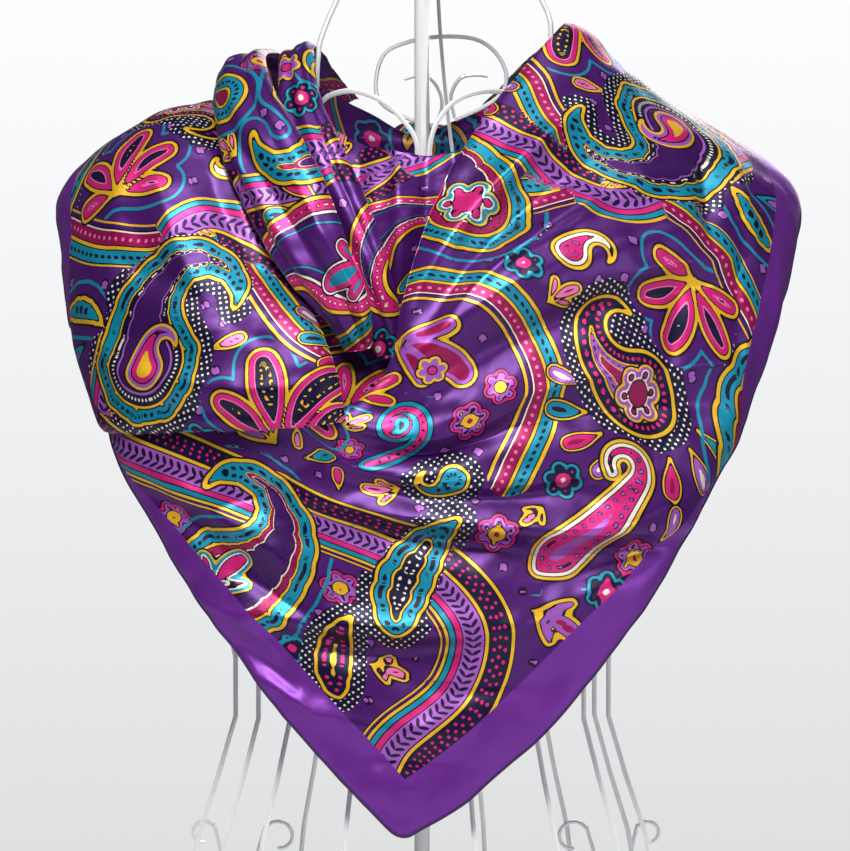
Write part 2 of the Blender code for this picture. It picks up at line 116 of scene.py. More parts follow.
# ------------------------------------------------------------------------ the tables
class Section(NamedTuple):
    """One section of cloth, from its a end to its b end, and its bow off that line."""

    ax: float
    az: float
    ad: float
    bx: float
    bz: float
    bd: float
    bow_x: float
    bow_z: float
    bow_d: float
    full: float
    dip: float = 0.0


class Station(NamedTuple):
    """One station of a rolled fold: its crest's point, its width and its height."""

    x: float
    z: float
    d: float
    width: float
    height: float


class Crease(NamedTuple):
    """A soft ridge, or a trough where height is below zero, seen from the front."""

    x0: float
    z0: float
    x1: float
    z1: float
    bend: float
    height: float
    width: float
    lean: float = 0.0


class Pleat(NamedTuple):
    """A crease that runs along a rolled fold, placed by shares of its width and length."""

    across0: float
    across1: float
    along0: float
    along1: float
    height: float
    width: float


OUTER_PLEATS = tuple(Pleat(*row) for row in (
    (0.62, 0.4, 0.0, 0.55, -4.5, 0.08),
    (0.46, 0.26, 0.02, 0.6, 2.6, 0.07),
    (0.8, 0.62, 0.05, 0.5, 2.4, 0.06),
    (0.28, 0.2, 0.1, 0.7, -3.2, 0.07),
    (0.66, 0.74, 0.3, 0.9, -3.4, 0.08),
    (0.5, 0.52, 0.45, 0.95, 2.2, 0.08),
))
INNER_PLEATS = tuple(Pleat(*row) for row in (
    (0.58, 0.38, 0.0, 0.5, -3.6, 0.09),
    (0.36, 0.22, 0.05, 0.6, 2.0, 0.07),
    (0.76, 0.66, 0.1, 0.7, -2.6, 0.08),
    (0.42, 0.56, 0.4, 0.95, -2.6, 0.09),
))
# Where the front cloth dips behind the rolled folds, and how far that reaches.
DIP_X = -40
DIP_REACH_LEFT = 52
DIP_REACH_RIGHT = 110
ROLL_CENTRE = (0, 600, 0)
ROLL_HALF_TURN = math.radians(86)
# The share of the outer roll's columns on its left side, and how far that side runs on
# down to the drape, by share of the roll's length.
WALL_SHARE = 0.2
OUTER_WALL = ((0, 0.12, 0.25, 0.42, 0.55, 0.7, 1), (6, 16, 28, 36, 28, 16, 4))

FRONT_SECTIONS = tuple(Section(*row) for row in (
    (-21, 247, 113, -8, 243, 113, 0, -2, 0, 1.0),
    (-62, 290, 112, 32, 268, 113, 0, -2, 4, 0.8),
    (-105, 341, 106, 90, 322, 108, 0, 0, 10, 0.7),
    (-144, 393, 92, 142, 387, 94, 0, 0, 28, 0.6),
    (-172, 438, 74, 176, 444, 76, 0, 0, 48, 0.6, 5),
    (-193, 476, 58, 198, 482, 58, 0, 0, 67, 0.6, 16),
    (-204, 510, 50, 208, 506, 48, 0, 0, 78, 0.6, 37),
    (-188, 537, 68, 216, 530, 42, 2, 0, 72, 0.6, 55),
    (-150, 546, 95, 224, 552, 35, 8, 2, 58, 0.6, 62),
    (-112, 559, 109, 232, 574, 28, 12, 4, 50, 0.6, 64),
    (-78, 567, 117, 240, 596, 18, 16, 7, 45, 0.62, 63),
    (-50, 557, 124, 245, 618, 6, 18, 12, 42, 0.64, 40),
    (-25, 540, 127, 249, 645, -10, 24, 31, 39, 0.68),
    (-10, 584, 117, 242, 668, -30, 30, 28, 34, 0.72),
    (4, 640, 103, 215, 682, -58, 38, 32, 30, 0.75),
    (30, 690, 84, 176, 688, -82, 38, 36, 22, 0.8),
    (62, 734, 56, 128, 686, -100, 44, 28, 22, 0.8),
    (94, 771, 20, 92, 682, -110, 30, 14, 4, 0.8),
    (72.5, 752, -38, 58, 680, -115, 20, 8, -16, 0.8),
    (44.5, 726, -78, 34, 682, -117, 6, 4, -12, 0.8),
    (22, 708, -106, 17, 686, -118, 0, 2, -4, 0.8),
))
DRAPE_SECTIONS = tuple(Section(*row) for row in (
    (-49, 509, 134, -208, 500, 56, -10, -2, 24, 0.62),
    (-53, 535, 130, -221, 538, 45, -12, 2, 26, 0.62),
    (-64, 566, 117, -232, 586, 26, -12, 8, 31, 0.65),
    (-80, 606, 88, -238, 628, 8, -12, 14, 34, 0.68),
    (-96, 648, 66, -240, 655, -12, -14, 18, 33, 0.7),
    (-107, 684, 40, -222, 676, -40, -16, 20, 30, 0.75),
    (-113, 706, 10, -186, 686, -68, -16, 20, 20, 0.8),
    (-111, 718, -20, -140, 687, -92, -14, 14, 6, 0.8),
    (-92, 716, -56, -94, 684, -108, -10, 8, -9, 0.8),
    (-58, 706, -92, -52, 682, -116, -4, 4, -10, 0.8),
    (-24, 702, -108, -20, 684, -119, 0, 2, -4, 0.8),
))
COWL_SECTIONS = tuple(Section(*row) for row in (
    (-66, 710, 34, 66, 708, 50, 2, -27, 34, 0.7),
    (-66, 684, 56, 60, 684, 60, 2, -20, 26, 0.7),
    (-66, 642, 76, 44, 640, 75, 2, -4, 13, 0.7),
    (-76, 590, 84, 22, 588, 85, 0, 0, 5, 0.8),
    (-84, 545, 82, 4, 540, 86, 0, 0, 4, 0.8),
    (-82, 500, 85, -6, 496, 88, 0, 0, 4, 0.8),
    (-84, 484, 96, -8, 480, 98, 0, 0, 4, 0.8),
    (-80, 478, 110, -12, 474, 112, 0, 0, 4, 0.8),
))
BAND_SECTIONS = tuple(Section(*row) for row in (
    (-76, 734, -18, -72, 694, -22, -3, 0, 0, 0.8),
    (-62, 730, -46, -58, 690, -48, -3, 0, -3, 0.8),
    (-38, 716, -66, -36, 684, -66, -2, 0, -4, 0.8),
    (-6, 702, -75, -6, 676, -74, 0, 0, -4, 0.8),
    (28, 712, -73, 26, 680, -72, 1, 0, -4, 0.8),
    (54, 728, -64, 50, 688, -64, 3, 0, -4, 0.8),
    (68, 738, -42, 62, 698, -44, 3, 0, -3, 0.8),
))
OUTER_STATIONS = tuple(Station(*row) for row in (
    (-42, 554, 105, 22, 6),
    (-52, 580, 118, 36, 9),
    (-70, 610, 124, 50, 12),
    (-94, 656, 112, 58, 14),
    (-117, 700, 86, 54, 15),
    (-127, 738, 43, 43, 15),
    (-120, 748, -8, 44, 13),
    (-98, 740, -54, 40, 10),
    (-66, 721.5, -92, 26, 7),
))
INNER_STATIONS = tuple(Station(*row) for row in (
    (-22, 550, 100, 16, 5),
    (-30, 578, 106, 28, 8),
    (-45, 618, 103, 36, 11),
    (-66, 668, 87, 38, 13),
    (-83, 716, 60, 32, 13),
    (-87, 753, 24, 27, 11),
    (-82, 754, -14, 28, 8),
    (-68, 740, -44, 24, 6),
    (-48, 724, -66, 16, 4),
))
TAIL_LEFT_SECTIONS = tuple(Section(*row) for row in (
    (-14, 673.4, -129, -2, 673.4, -129, 0, 0, -3, 0.8),
    (-30, 650, -126, -2, 645, -130, 0, 0, -8, 0.8),
    (-52, 608, -120, -6, 600, -124, 0, 0, -10, 0.8),
    (-66, 570, -117, -22, 556, -120, 0, 0, -7, 0.8),
    (-58, 537, -115, -50, 532, -115, 0, 0, -1, 0.8),
))
TAIL_RIGHT_SECTIONS = tuple(Section(*row) for row in (
    (3, 673.4, -129, 15, 673.4, -129, 0, 0, -3, 0.8),
    (4, 648, -130, 32, 652, -126, 0, 0, -8, 0.8),
    (10, 614, -125, 54, 622, -120, 0, 0, -10, 0.8),
    (28, 578, -121, 70, 588, -117, 0, 0, -7, 0.8),
    (55, 558, -116, 63, 562, -116, 0, 0, -1, 0.8),
))
# How far from the hem the cloth turns out of sight, by row of the front's sections.
LEFT_TURN = ((0, 2.4, 3.6, 4.6, 5.4, 7.0), (0, 0, 10, 24, 33, 36))
DRAPE_TURN = ((0, 1.4, 2.6, 3.6, 5.5), (34, 32, 14, 0, 0))
RIGHT_TURN = ((0, 2.6, 3.8, 5.0, 6.2, 7.4, 21), (0, 0, 22, 34, 26, 0, 0))
KNOT_CENTRE = (0, 694, -129)
KNOT_HALF = (31, 20, 12.5)

# The front cloth's creases, from place to place.
FRONT_CREASES = tuple(Crease(*row) for row in (
    # the long folds that run from the foot of the neckline up to the right shoulder
    (-14, 545, 196, 640, 16, 11.2, 14.6, 0.2),
    (-2, 530, 222, 600, 14, -8.8, 12.3),
    (2, 506, 215, 548, 8, 10, 13.4, 0.35),
    (0, 492, 200, 520, 8, -6.2, 11.2),
    (-14, 560, 100, 706, 14, 8.8, 10.1, 0.3),
    (0, 560, 128, 690, 14, -7.5, 10.1),
    (10, 566, 176, 676, 16, 7.5, 9, 0.35),
    (30, 566, 214, 650, 14, -6.2, 10.1, -0.2),
    (70, 580, 236, 616, 10, 5.6, 9, 0.3),
    (40, 640, 130, 728, 8, 5, 9, 0.3),
    # the loops that hang below it
    (-58, 512, 66, 520, -17, 8.1, 7.8, 0.5),
    (-64, 500, 60, 508, -16, -6.2, 6.7, -0.3),
    (-66, 486, 140, 484, -16, 6.2, 9, 0.45),
    (-60, 474, 120, 474, -15, -5, 7.8, -0.2),
    # the two tucks across the front
    (-96, 466, 194, 444, -15, 10.6, 10.1, 0.6),
    (-80, 452, 180, 432, -15, -9.4, 9, -0.3),
    (-124, 388, 76, 378, -9, 10, 10.1, 0.55),
    (-112, 374, 54, 366, -9, -6.9, 9, -0.3),
    # the left side, below the drape
    (-204, 500, -62, 402, 0, 8.8, 12.3, 0.2),
    (-190, 470, -90, 400, 3, -6.2, 9),
    (-60, 490, -168, 446, 8, -5.6, 9),
    (-140, 420, -40, 352, 8, -5, 9),
    (-150, 398, -88, 358, 3, 5, 6.7, 0.3),
    (-132, 372, -78, 334, 3, -4.2, 6.7),
    (-112, 348, -60, 312, 3, 4, 6.7, 0.3),
    # the right side and the corner
    (30, 424, 186, 470, -9, 6.2, 10.1, 0.2),
    (60, 404, 170, 436, -6, -5, 9),
    (20, 352, 130, 404, 4, 4.2, 10.1, 0.3),
    (-30, 350, 96, 342, -8, -5, 10.1),
    (-90, 330, 36, 310, -8, 4.5, 9, 0.3),
    (-60, 300, 40, 290, -4, -3.2, 9),
    # the gathers below the right shoulder
    (208, 640, 194, 470, 6, 7.5, 11.2),
    (176, 610, 152, 460, -8, -5.6, 10.1),
    (234, 640, 214, 490, 5, 6.2, 7.8, 0.3),
    (220, 676, 204, 540, -5, -5.6, 6.7),
    (176, 706, 188, 620, 5, -11.2, 7.8),
    (196, 700, 216, 616, 5, 7.5, 6.7),
    (110, 706, 176, 676, 8, -7.5, 10.1),
))
DRAPE_CREASES = tuple(Crease(*row) for row in (
    # the broad roll above the lower edge, and the hollow beside the rolled folds
    (-70, 532, -224, 552, 10, 7, 17, 0.3),
    (-84, 580, -150, 700, 6, -7, 17),
    (-92, 556, -196, 650, 12, -5.5, 15, -0.2),
    (-214, 566, -200, 700, -8, 5, 15, 0.2),
    (-128, 566, -176, 690, 8, 5, 13, 0.2),
    # the smaller folds
    (-66, 514, -190, 520, 3, -4, 7),
    (-176, 516, -232, 610, 4, 3.6, 8),
    (-150, 590, -226, 644, 6, -3.4, 9),
    (-96, 600, -128, 690, 3, 3.6, 8, -0.2),
    (-104, 660, -172, 720, 6, 4, 9, 0.2),
))
COWL_CREASES = tuple(Crease(*row) for row in (
    (-18, 704, -20, 520, 4, 7.0, 7, 0.3),
    (-38, 696, -46, 540, -3, -5.5, 7),
    (2, 694, -6, 540, 3, -6.0, 6),
    (22, 700, 6, 580, 3, 5.0, 6),
    (-54, 700, -56, 560, 2, 3.0, 5),
))

# The creases on the sides that face the back, which fan out from the knot.
FRONT_BACK_CREASES = tuple(Crease(*row) for row in (
    (28, 702, 132, 742, 6, 4.5, 8, 0.3),
    (30, 694, 176, 716, 7, -4.5, 8),
    (34, 690, 204, 694, 6, 4.5, 8, 0.3),
    (48, 686, 170, 684, 3, -3, 5),
))
DRAPE_BACK_CREASES = tuple(Crease(*row) for row in (
    (-28, 700, -150, 722, 7, 4.5, 8, 0.3),
    (-30, 693, -190, 704, 6, -4, 7),
    (-38, 688, -196, 690, 4, 4, 6),
))
BAND_CREASES = tuple(Crease(*row) for row in (
    (-62, 720, 56, 716, -10, 2.6, 5, 0.3),
    (-56, 706, 50, 704, -10, -2.4, 4),
    (-44, 692, 40, 690, -8, 2.2, 4),
))
LEFT_TAIL_CREASES = tuple(Crease(*row) for row in (
    (-8, 670, -42, 552, 6, 3.6, 5, 0.3),
    (-5, 662, -26, 560, -3, -3, 5),
    (-18, 652, -56, 566, 3, -2.6, 5),
))
RIGHT_TAIL_CREASES = tuple(Crease(*row) for row in (
    (9, 670, 48, 578, -5, 3.4, 5, 0.3),
    (8, 656, 40, 570, -4, -2.6, 4),
    (20, 652, 62, 582, 4, -2.6, 5),
))


# ------------------------------------------------------------------------- geometry
def through(knots: np.ndarray, samples: int) -> np.ndarray:
    """Read rows evenly from a smooth curve through the rows of knots.

    Args:
        knots: The rows that the curve runs through.
        samples: How many rows to return.

    Returns:
        The rows, first and last ones included.
    """
    knots = np.asarray(knots, dtype=float)
    padded = np.concatenate(((2 * knots[0] - knots[1])[None], knots, (2 * knots[-1] - knots[-2])[None]))
    place = np.linspace(0.0, len(knots) - 1.0, samples)
    start = np.minimum(place.astype(int), len(knots) - 2)
    t = (place - start).reshape((-1,) + (1,) * (knots.ndim - 1))
    p0, p1, p2, p3 = (padded[start + step] for step in range(4))
    return 0.5 * (2 * p1 + (p2 - p0) * t + (2 * p0 - 5 * p1 + 4 * p2 - p3) * t ** 2
                  + (3 * p1 - 3 * p2 + p3 - p0) * t ** 3)


def world(points: np.ndarray) -> np.ndarray:
    """Return world metres from (x, z, d) millimetres."""
    points = np.asarray(points, dtype=float)
    return np.stack((points[..., 0], -points[..., 2], points[..., 1]), axis=-1) * MM


def unit(vectors: np.ndarray) -> np.ndarray:
    """Return vectors scaled to length one."""
    return vectors / np.maximum(np.linalg.norm(vectors, axis=-1, keepdims=True), 1e-12)


def grid_normals(grid: np.ndarray, outward_from: Sequence[float]) -> np.ndarray:
    """Return a grid's unit normals, turned away from a middle point.

    Args:
        grid: Rows and columns of world points.
        outward_from: The point that the normals look away from.

    Returns:
        One normal for each point.
    """
    normals = unit(np.cross(np.gradient(grid, axis=0), np.gradient(grid, axis=1)))
    middle = grid.shape[0] // 3, grid.shape[1] // 2
    facing = np.dot(normals[middle], grid[middle] - np.array(outward_from))
    return normals if facing > 0 else -normals


def section_grid(sections: Sequence[Section], rows: int, columns: int) -> np.ndarray:
    """Loft sections: rows along the table, columns from each a end to its b end.

    Args:
        sections: The table.
        rows: How many rows of points.
        columns: How many points in each row.

    Returns:
        Rows and columns of world points.
    """
    table = through(np.array(sections), rows)
    even = np.linspace(0.0, 1.0, columns)
    turn = (math.pi * even + np.arccos(1 - 2 * even)) / 2
    step = ((1 - np.cos(turn)) / 2)[None, :, None]
    a_end, b_end, bow = (table[:, None, k:k + 3] for k in (0, 3, 6))
    swell = np.sin(turn)[None, :, None].clip(0) ** (2 * table[:, None, 9:10])
    points = a_end + (b_end - a_end) * step + bow * swell
    off = points[..., 0] - DIP_X
    reach = np.where(off < 0, DIP_REACH_LEFT, DIP_REACH_RIGHT)
    points[..., 1] -= table[:, 10:11] * np.exp(-(off / reach) ** 2)
    return world(points)


def roll_grid(stations: Sequence[Station], rows: int, columns: int, wall: int,
              deep: Sequence[Sequence[float]]) -> np.ndarray:
    """Sweep a rolled fold's arched section along its stations.

    Args:
        stations: The table.
        rows: How many points along the roll.
        columns: How many points across it.
        wall: How many of those lie on the side that runs on down.
        deep: That side's depth, by share of the roll's length.

    Returns:
        Rows and columns of world points.
    """
    table = through(np.array(stations), rows)
    crest = world(table[:, :3])
    tangent = unit(np.gradient(crest, axis=0))
    outward = crest - world(np.array(ROLL_CENTRE))
    outward = unit(outward - (outward * tangent).sum(axis=1, keepdims=True) * tangent)
    side = np.cross(tangent, outward)
    turn = np.linspace(-ROLL_HALF_TURN, ROLL_HALF_TURN, columns - wall)
    turn = np.concatenate((np.full(wall, -ROLL_HALF_TURN), turn))
    half_width = table[:, 3, None] / 2 * np.sin(turn)[None, :] * MM
    drop = table[:, 4, None] * ((1 - np.cos(turn)) ** 1.35 * 0.96)[None, :] * MM
    down = np.interp(np.linspace(0, 1, rows), *deep)[:, None] * MM
    drop[:, :wall] += down * np.linspace(1, 0, wall, endpoint=False)[None, :]
    return crest[:, None] + side[:, None] * half_width[..., None] - outward[:, None] * drop[..., None]


def crease_relief(grid: np.ndarray, normals: np.ndarray, creases: Iterable[Crease],
                  side: float) -> np.ndarray:
    """Push a grid along its normals where creases cross one side of it.

    Args:
        grid: Rows and columns of world points.
        normals: The grid's normals.
        creases: The ridges and troughs.
        side: -1 for the side that faces the front, 1 for the one that faces the back.

    Returns:
        The grid with its creases.
    """
    x, z = grid[..., 0] / MM, grid[..., 2] / MM
    relief = np.zeros(x.shape)
    for crease in creases:
        run = np.array((crease.x1 - crease.x0, crease.z1 - crease.z0), dtype=float)
        length = np.hypot(*run)
        run /= length
        along = ((x - crease.x0) * run[0] + (z - crease.z0) * run[1]) / length
        off = (z - crease.z0) * run[0] - (x - crease.x0) * run[1]
        reach = along.clip(0, 1)
        off = off - crease.bend * 4 * reach * (1 - reach)
        width = crease.width * np.where(off > 0, 1 + crease.lean, 1 - crease.lean)
        ends = np.sin(math.pi * reach) ** 0.7 * (along > 0) * (along < 1)
        relief += crease.height * np.exp(-np.abs(off / width) ** 1.5) * ends
    facing = (side * normals[..., 1]).clip(0, 1)
    return grid + normals * (relief * facing * MM)[..., None]


def soft_wrinkles(flat: np.ndarray, seed: int, height: float) -> np.ndarray:
    """Return the small uneven waves that handled satin keeps, in millimetres.

    Args:
        flat: Places on the flat square, in millimetres.
        seed: Which set of waves.
        height: About how high they are.

    Returns:
        The height at each place.
    """
    chance = np.random.default_rng(seed)
    total = np.zeros(flat.shape[:-1])
    longest, ratio, waves = 150, 0.86, 16
    for wave in longest * ratio ** np.arange(waves):
        way = chance.uniform(0, math.pi)
        bend = chance.uniform(0.4, 1.4)
        phase = chance.uniform(0, 2 * math.pi, 2)
        u = (flat[..., 0] * math.cos(way) + flat[..., 1] * math.sin(way)) / wave
        v = (flat[..., 1] * math.cos(way) - flat[..., 0] * math.sin(way)) / wave
        sway = bend * np.sin(2.1 * math.pi * v + phase[0])
        total += (wave / longest) ** 0.9 * np.sin(2 * math.pi * u + sway + phase[1])
    return height * total / 2.4


def arc_length(path: np.ndarray) -> np.ndarray:
    """Return the distance along a path at each of its points."""
    steps = np.linalg.norm(np.diff(path, axis=0), axis=-1)
    return np.concatenate((np.zeros((1,) + steps.shape[1:]), np.cumsum(steps, axis=0)))


# ----------------------------------------------------------- flattening to the square
@dataclass
class Flattening:
    """Lays a coarse grid of the draped cloth flat on the square, with lengths kept.

    mirror says whether the grid runs the other way round than the flat square.
    """

    grid: np.ndarray
    pins: dict[int, tuple[float, float]]
    mirror: bool
    rounds: int = 30
    triangles: np.ndarray = field(init=False, repr=False)
    local: np.ndarray = field(init=False, repr=False)
    count: int = field(init=False, repr=False)
    held: np.ndarray = field(init=False, repr=False)
    fixed: np.ndarray = field(init=False, repr=False)
    free: np.ndarray = field(init=False, repr=False)

    def __post_init__(self) -> None:
        """Find the triangles, their true shapes, and the held and free points."""
        rows, columns = self.grid.shape[:2]
        self.count = rows * columns
        index = np.arange(self.count).reshape(rows, columns)
        a, b = index[:-1, :-1].ravel(), index[:-1, 1:].ravel()
        c, d = index[1:, 1:].ravel(), index[1:, :-1].ravel()
        tri = np.concatenate((np.stack((a, b, c), 1), np.stack((a, c, d), 1)))
        self.triangles = tri[:, [0, 2, 1]] if self.mirror else tri
        points = self.grid.reshape(-1, 3) / MM
        start, middle, end = (points[self.triangles[:, k]] for k in range(3))
        first, second = middle - start, end - start
        x1 = np.linalg.norm(first, axis=1).clip(1e-6)
        along = first / x1[:, None]
        x2 = (second * along).sum(axis=1)
        y2 = np.linalg.norm(second - along * x2[:, None], axis=1).clip(1e-6)
        self.local = np.zeros((len(tri), 3, 2))
        self.local[:, 1, 0], self.local[:, 2, 0], self.local[:, 2, 1] = x1, x2, y2
        self.held = np.array(sorted(self.pins))
        self.fixed = np.array([self.pins[k] for k in self.held], dtype=float)
        self.free = np.setdiff1d(np.arange(self.count), self.held)

    def solve(self) -> np.ndarray:
        """Return the flat place of each point, in millimetres, as rows and columns."""
        return self._rigid(self._conformal()).reshape(self.grid.shape[:2] + (2,))

    def _conformal(self) -> np.ndarray:
        """Lay the points out with their angles kept.

        Returns:
            A first flat place for each point.
        """
        tri, local, count, free = self.triangles, self.local, self.count, self.free
        area = np.sqrt(local[:, 1, 0] * local[:, 2, 1])
        spread = np.roll(local, -1, axis=1) - np.roll(local, 1, axis=1)
        real, imaginary = spread[..., 0] / area[:, None], spread[..., 1] / area[:, None]
        system = np.zeros((2 * len(tri), 2 * count))
        line = np.arange(len(tri))
        for k in range(3):
            system[line, tri[:, k]] += real[:, k]
            system[line, count + tri[:, k]] -= imaginary[:, k]
            system[len(tri) + line, tri[:, k]] += imaginary[:, k]
            system[len(tri) + line, count + tri[:, k]] += real[:, k]
        known = np.concatenate((self.held, count + self.held))
        unknown = np.concatenate((free, count + free))
        right = -system[:, known] @ np.concatenate((self.fixed[:, 0], self.fixed[:, 1]))
        left = system[:, unknown]
        answer = np.linalg.solve(left.T @ left + 1e-9 * np.eye(left.shape[1]), left.T @ right)
        flat = np.zeros((count, 2))
        flat[self.held] = self.fixed
        flat[free, 0], flat[free, 1] = answer[:len(free)], answer[len(free):]
        return flat

    def _edges(self) -> list[tuple[np.ndarray, np.ndarray, np.ndarray, np.ndarray]]:
        """Return the ends, true run and weight of each edge of every triangle.

        Returns:
            One entry for each of a triangle's three edges.
        """
        tri, local, edges = self.triangles, self.local, []
        for k in range(3):
            after, across = (k + 1) % 3, (k + 2) % 3
            to_i, to_j = local[:, k] - local[:, across], local[:, after] - local[:, across]
            cross = np.abs(to_i[:, 0] * to_j[:, 1] - to_i[:, 1] * to_j[:, 0]).clip(1e-9)
            weight = ((to_i * to_j).sum(axis=1) / cross / 2).clip(0.02, 5)
            edges.append((tri[:, k], tri[:, after], local[:, k] - local[:, after], weight))
        return edges

    def _rigid(self, flat: np.ndarray) -> np.ndarray:
        """Turn each triangle back to its true size, in rounds.

        Args:
            flat: The first flat places.

        Returns:
            The flat places with lengths kept.
        """
        pull, free, edges = np.zeros((self.count, self.count)), self.free, self._edges()
        for i, j, _, weight in edges:
            np.add.at(pull, (i, i), weight)
            np.add.at(pull, (j, j), weight)
            np.add.at(pull, (i, j), -weight)
            np.add.at(pull, (j, i), -weight)
        inverse = np.linalg.inv(pull[np.ix_(free, free)] + 1e-9 * np.eye(len(free)))
        for _ in range(self.rounds):
            shape = np.zeros((len(self.triangles), 2, 2))
            for i, j, true, weight in edges:
                shape += weight[:, None, None] * (flat[i] - flat[j])[:, :, None] * true[:, None, :]
            turn_x, turn_y = shape[:, 0, 0] + shape[:, 1, 1], shape[:, 1, 0] - shape[:, 0, 1]
            size = np.hypot(turn_x, turn_y).clip(1e-12)
            cos, sin = turn_x / size, turn_y / size
            right = np.zeros((self.count, 2))
            for i, j, true, weight in edges:
                turned = np.stack((cos * true[:, 0] - sin * true[:, 1],
                                   sin * true[:, 0] + cos * true[:, 1]), 1)
                np.add.at(right, i, weight[:, None] * turned)
                np.add.at(right, j, -weight[:, None] * turned)
            flat[free] = inverse @ (right[free] - pull[np.ix_(free, self.held)] @ self.fixed)
        return flat


# ------------------------------------------------------------------------- the print
class Kind(Enum):
    """The forms that the print is drawn with."""

    BOTEH = "curled teardrop"
    SCALLOP = "curled teardrop with a scalloped edge"
    LEAF = "serrated leaf"
    STAFF = "leaf with a curled head"
    SCROLL = "spiral"
    FAN = "fan of petals"
    TULIP = "three petals"
    ROSETTE = "round flower"
    CROSS = "four small petals"
    DROP = "small straight drop"


class Layer(Enum):
    """The print's layers, from the ground up."""

    RIBBON = "print_ribbon"
    PETAL = "print_petal"
    FORM = "print_form"
    CORE = "print_core"


class Motif(NamedTuple):
    """One form of the print.

    across and up place its foot, seen with the square's lower corner down: up from that
    corner and across to the right. turn is its direction in degrees from the right.
    """

    kind: Kind
    across: float
    up: float
    turn: float
    size: float
    hand: int
    style: int


class Ribbon(NamedTuple):
    """A striped ribbon of the print: its style, half its width and the knots of its path."""

    style: int
    half: float
    knots: Sequence[tuple[float, float]]


class Stroke(NamedTuple):
    """A chain of discs that draws a form: centres, radii and distance along it."""

    centres: np.ndarray
    radii: np.ndarray
    along: np.ndarray


def spine(turn: float, hand: int, size: float, bend: Callable[[np.ndarray], np.ndarray],
          width: Callable[[np.ndarray], np.ndarray], length: float, count: int = 40) -> Stroke:
    """Draw a curved chain of discs from the origin.

    Args:
        turn: The direction at the foot, in degrees.
        hand: 1 to bend left, -1 to bend right.
        size: The form's size in millimetres.
        bend: The turn in degrees gained at each share of the length.
        width: The radius at each share, for size one.
        length: The chain's length, for size one.
        count: How many discs.

    Returns:
        The chain.
    """
    share = np.linspace(0, 1, count)
    heading = np.radians(turn + hand * bend(share))
    step = size * length / (count - 1)
    walk = np.stack((np.cos(heading), np.sin(heading)), axis=1) * step
    centres = np.concatenate((np.zeros((1, 2)), np.cumsum(walk[:-1], axis=0)))
    return Stroke(centres, size * width(share), share * size * length)


def ring_of(count: int, turn: float, reach: float, radius: float) -> Stroke:
    """Draw equal discs round a circle.

    Args:
        count: How many discs.
        turn: The direction of the first one, in degrees.
        reach: The circle's radius.
        radius: Each disc's radius.

    Returns:
        The discs as a chain.
    """
    angles = np.radians(turn + np.arange(count) * 360 / count)
    ring = np.stack((np.cos(angles), np.sin(angles)), axis=1) * reach
    return Stroke(ring, np.full(count, radius), np.arange(count) * 6.0)


def draw(motif: Motif) -> list[Stroke]:
    """Draw a motif about its foot.

    Args:
        motif: The motif.

    Returns:
        Its chains of discs.
    """
    turn, hand, size, kind = motif.turn, motif.hand, motif.size, motif.kind
    if kind in (Kind.BOTEH, Kind.SCALLOP):
        lobes = 0.13 if kind is Kind.SCALLOP else 0.0
        count = 90 if kind is Kind.SCALLOP else 50
        body = spine(turn, hand, size, lambda t: -26 + 215 * t ** 1.7,
                     lambda t: (0.3 * (1 - t) ** 0.85 * (1 - 0.2 * np.sin(math.pi * t)) + 0.02)
                     * (1 - lobes + lobes * np.abs(np.cos(math.pi * 9 * t ** 0.8))), 1.12, count)
        if kind is Kind.BOTEH:
            return [body]
        collar = ring_of(9, turn + 180, size * 0.24, size * 0.095)
        return [body, collar._replace(along=collar.along + 300)]
    if kind is Kind.LEAF:
        return [spine(turn, hand, size, lambda t: -24 + 62 * t,
                      lambda t: (0.2 * np.sin(math.pi * t ** 0.75) ** 0.75 + 0.012)
                      * (0.8 + 0.2 * ((7 * t) % 1.0)), 1.1, 110)]
    if kind is Kind.STAFF:
        return [spine(turn, hand, size,
                      lambda t: -16 + 20 * t + 250 * (t - 0.62).clip(0) ** 1.3 / 0.38 ** 1.3,
                      lambda t: 0.15 * (1 - t) ** 1.2 * np.minimum(1, t * 7 + 0.2) + 0.062, 1.35, 70)]
    if kind is Kind.SCROLL:
        return [spine(turn, hand, size, lambda t: 30 * t + 600 * t ** 2,
                      lambda t: 0.135 * (1 - 0.45 * t) + 0.05 * np.exp(-((t - 1) / 0.06) ** 2), 2.6, 100)]
    if kind is Kind.DROP:
        return [spine(turn, hand, size, lambda t: 12 * t,
                      lambda t: 0.05 + 0.16 * np.sin(math.pi * t * 0.62) ** 1.5, 0.8, 16)]
    if kind is Kind.ROSETTE:
        heart = Stroke(np.zeros((1, 2)), np.array([size * 0.34]), np.zeros(1))
        return [ring_of(6, turn, size * 0.3, size * 0.19), heart]
    if kind is Kind.CROSS:
        return [ring_of(4, turn, size * 0.26, size * 0.24)]
    petals, opening, plump = (5, 80, 1.85) if kind is Kind.FAN else (3, 27, 1.75)
    strokes = []
    for k in range(petals):
        lean = (k / (petals - 1) * 2 - 1) * opening
        reach = 1 - 0.3 * abs(lean / opening) ** 1.5
        strokes.append(spine(turn + lean, 1 if lean > 0 else -1, size * reach, lambda t: 22 * t ** 2,
                             lambda t: 0.025 + plump * 0.1 * np.sin(math.pi * t * 0.66) ** 1.4, 0.86, 22))
    return strokes


class Filling(NamedTuple):
    """Small forms for the open ground: the gap that they need, their largest radius, their kinds."""

    least: float
    most: float
    layer: Layer
    kinds: Sequence[Kind]


FILLINGS = (
    Filling(25.0, 44.0, Layer.FORM, (Kind.BOTEH, Kind.TULIP, Kind.LEAF, Kind.FAN)),
    Filling(13.5, 15.0, Layer.PETAL, (Kind.ROSETTE, Kind.DROP, Kind.TULIP, Kind.ROSETTE)),
    Filling(9.0, 3.6, Layer.PETAL, (Kind.CROSS,)),
)


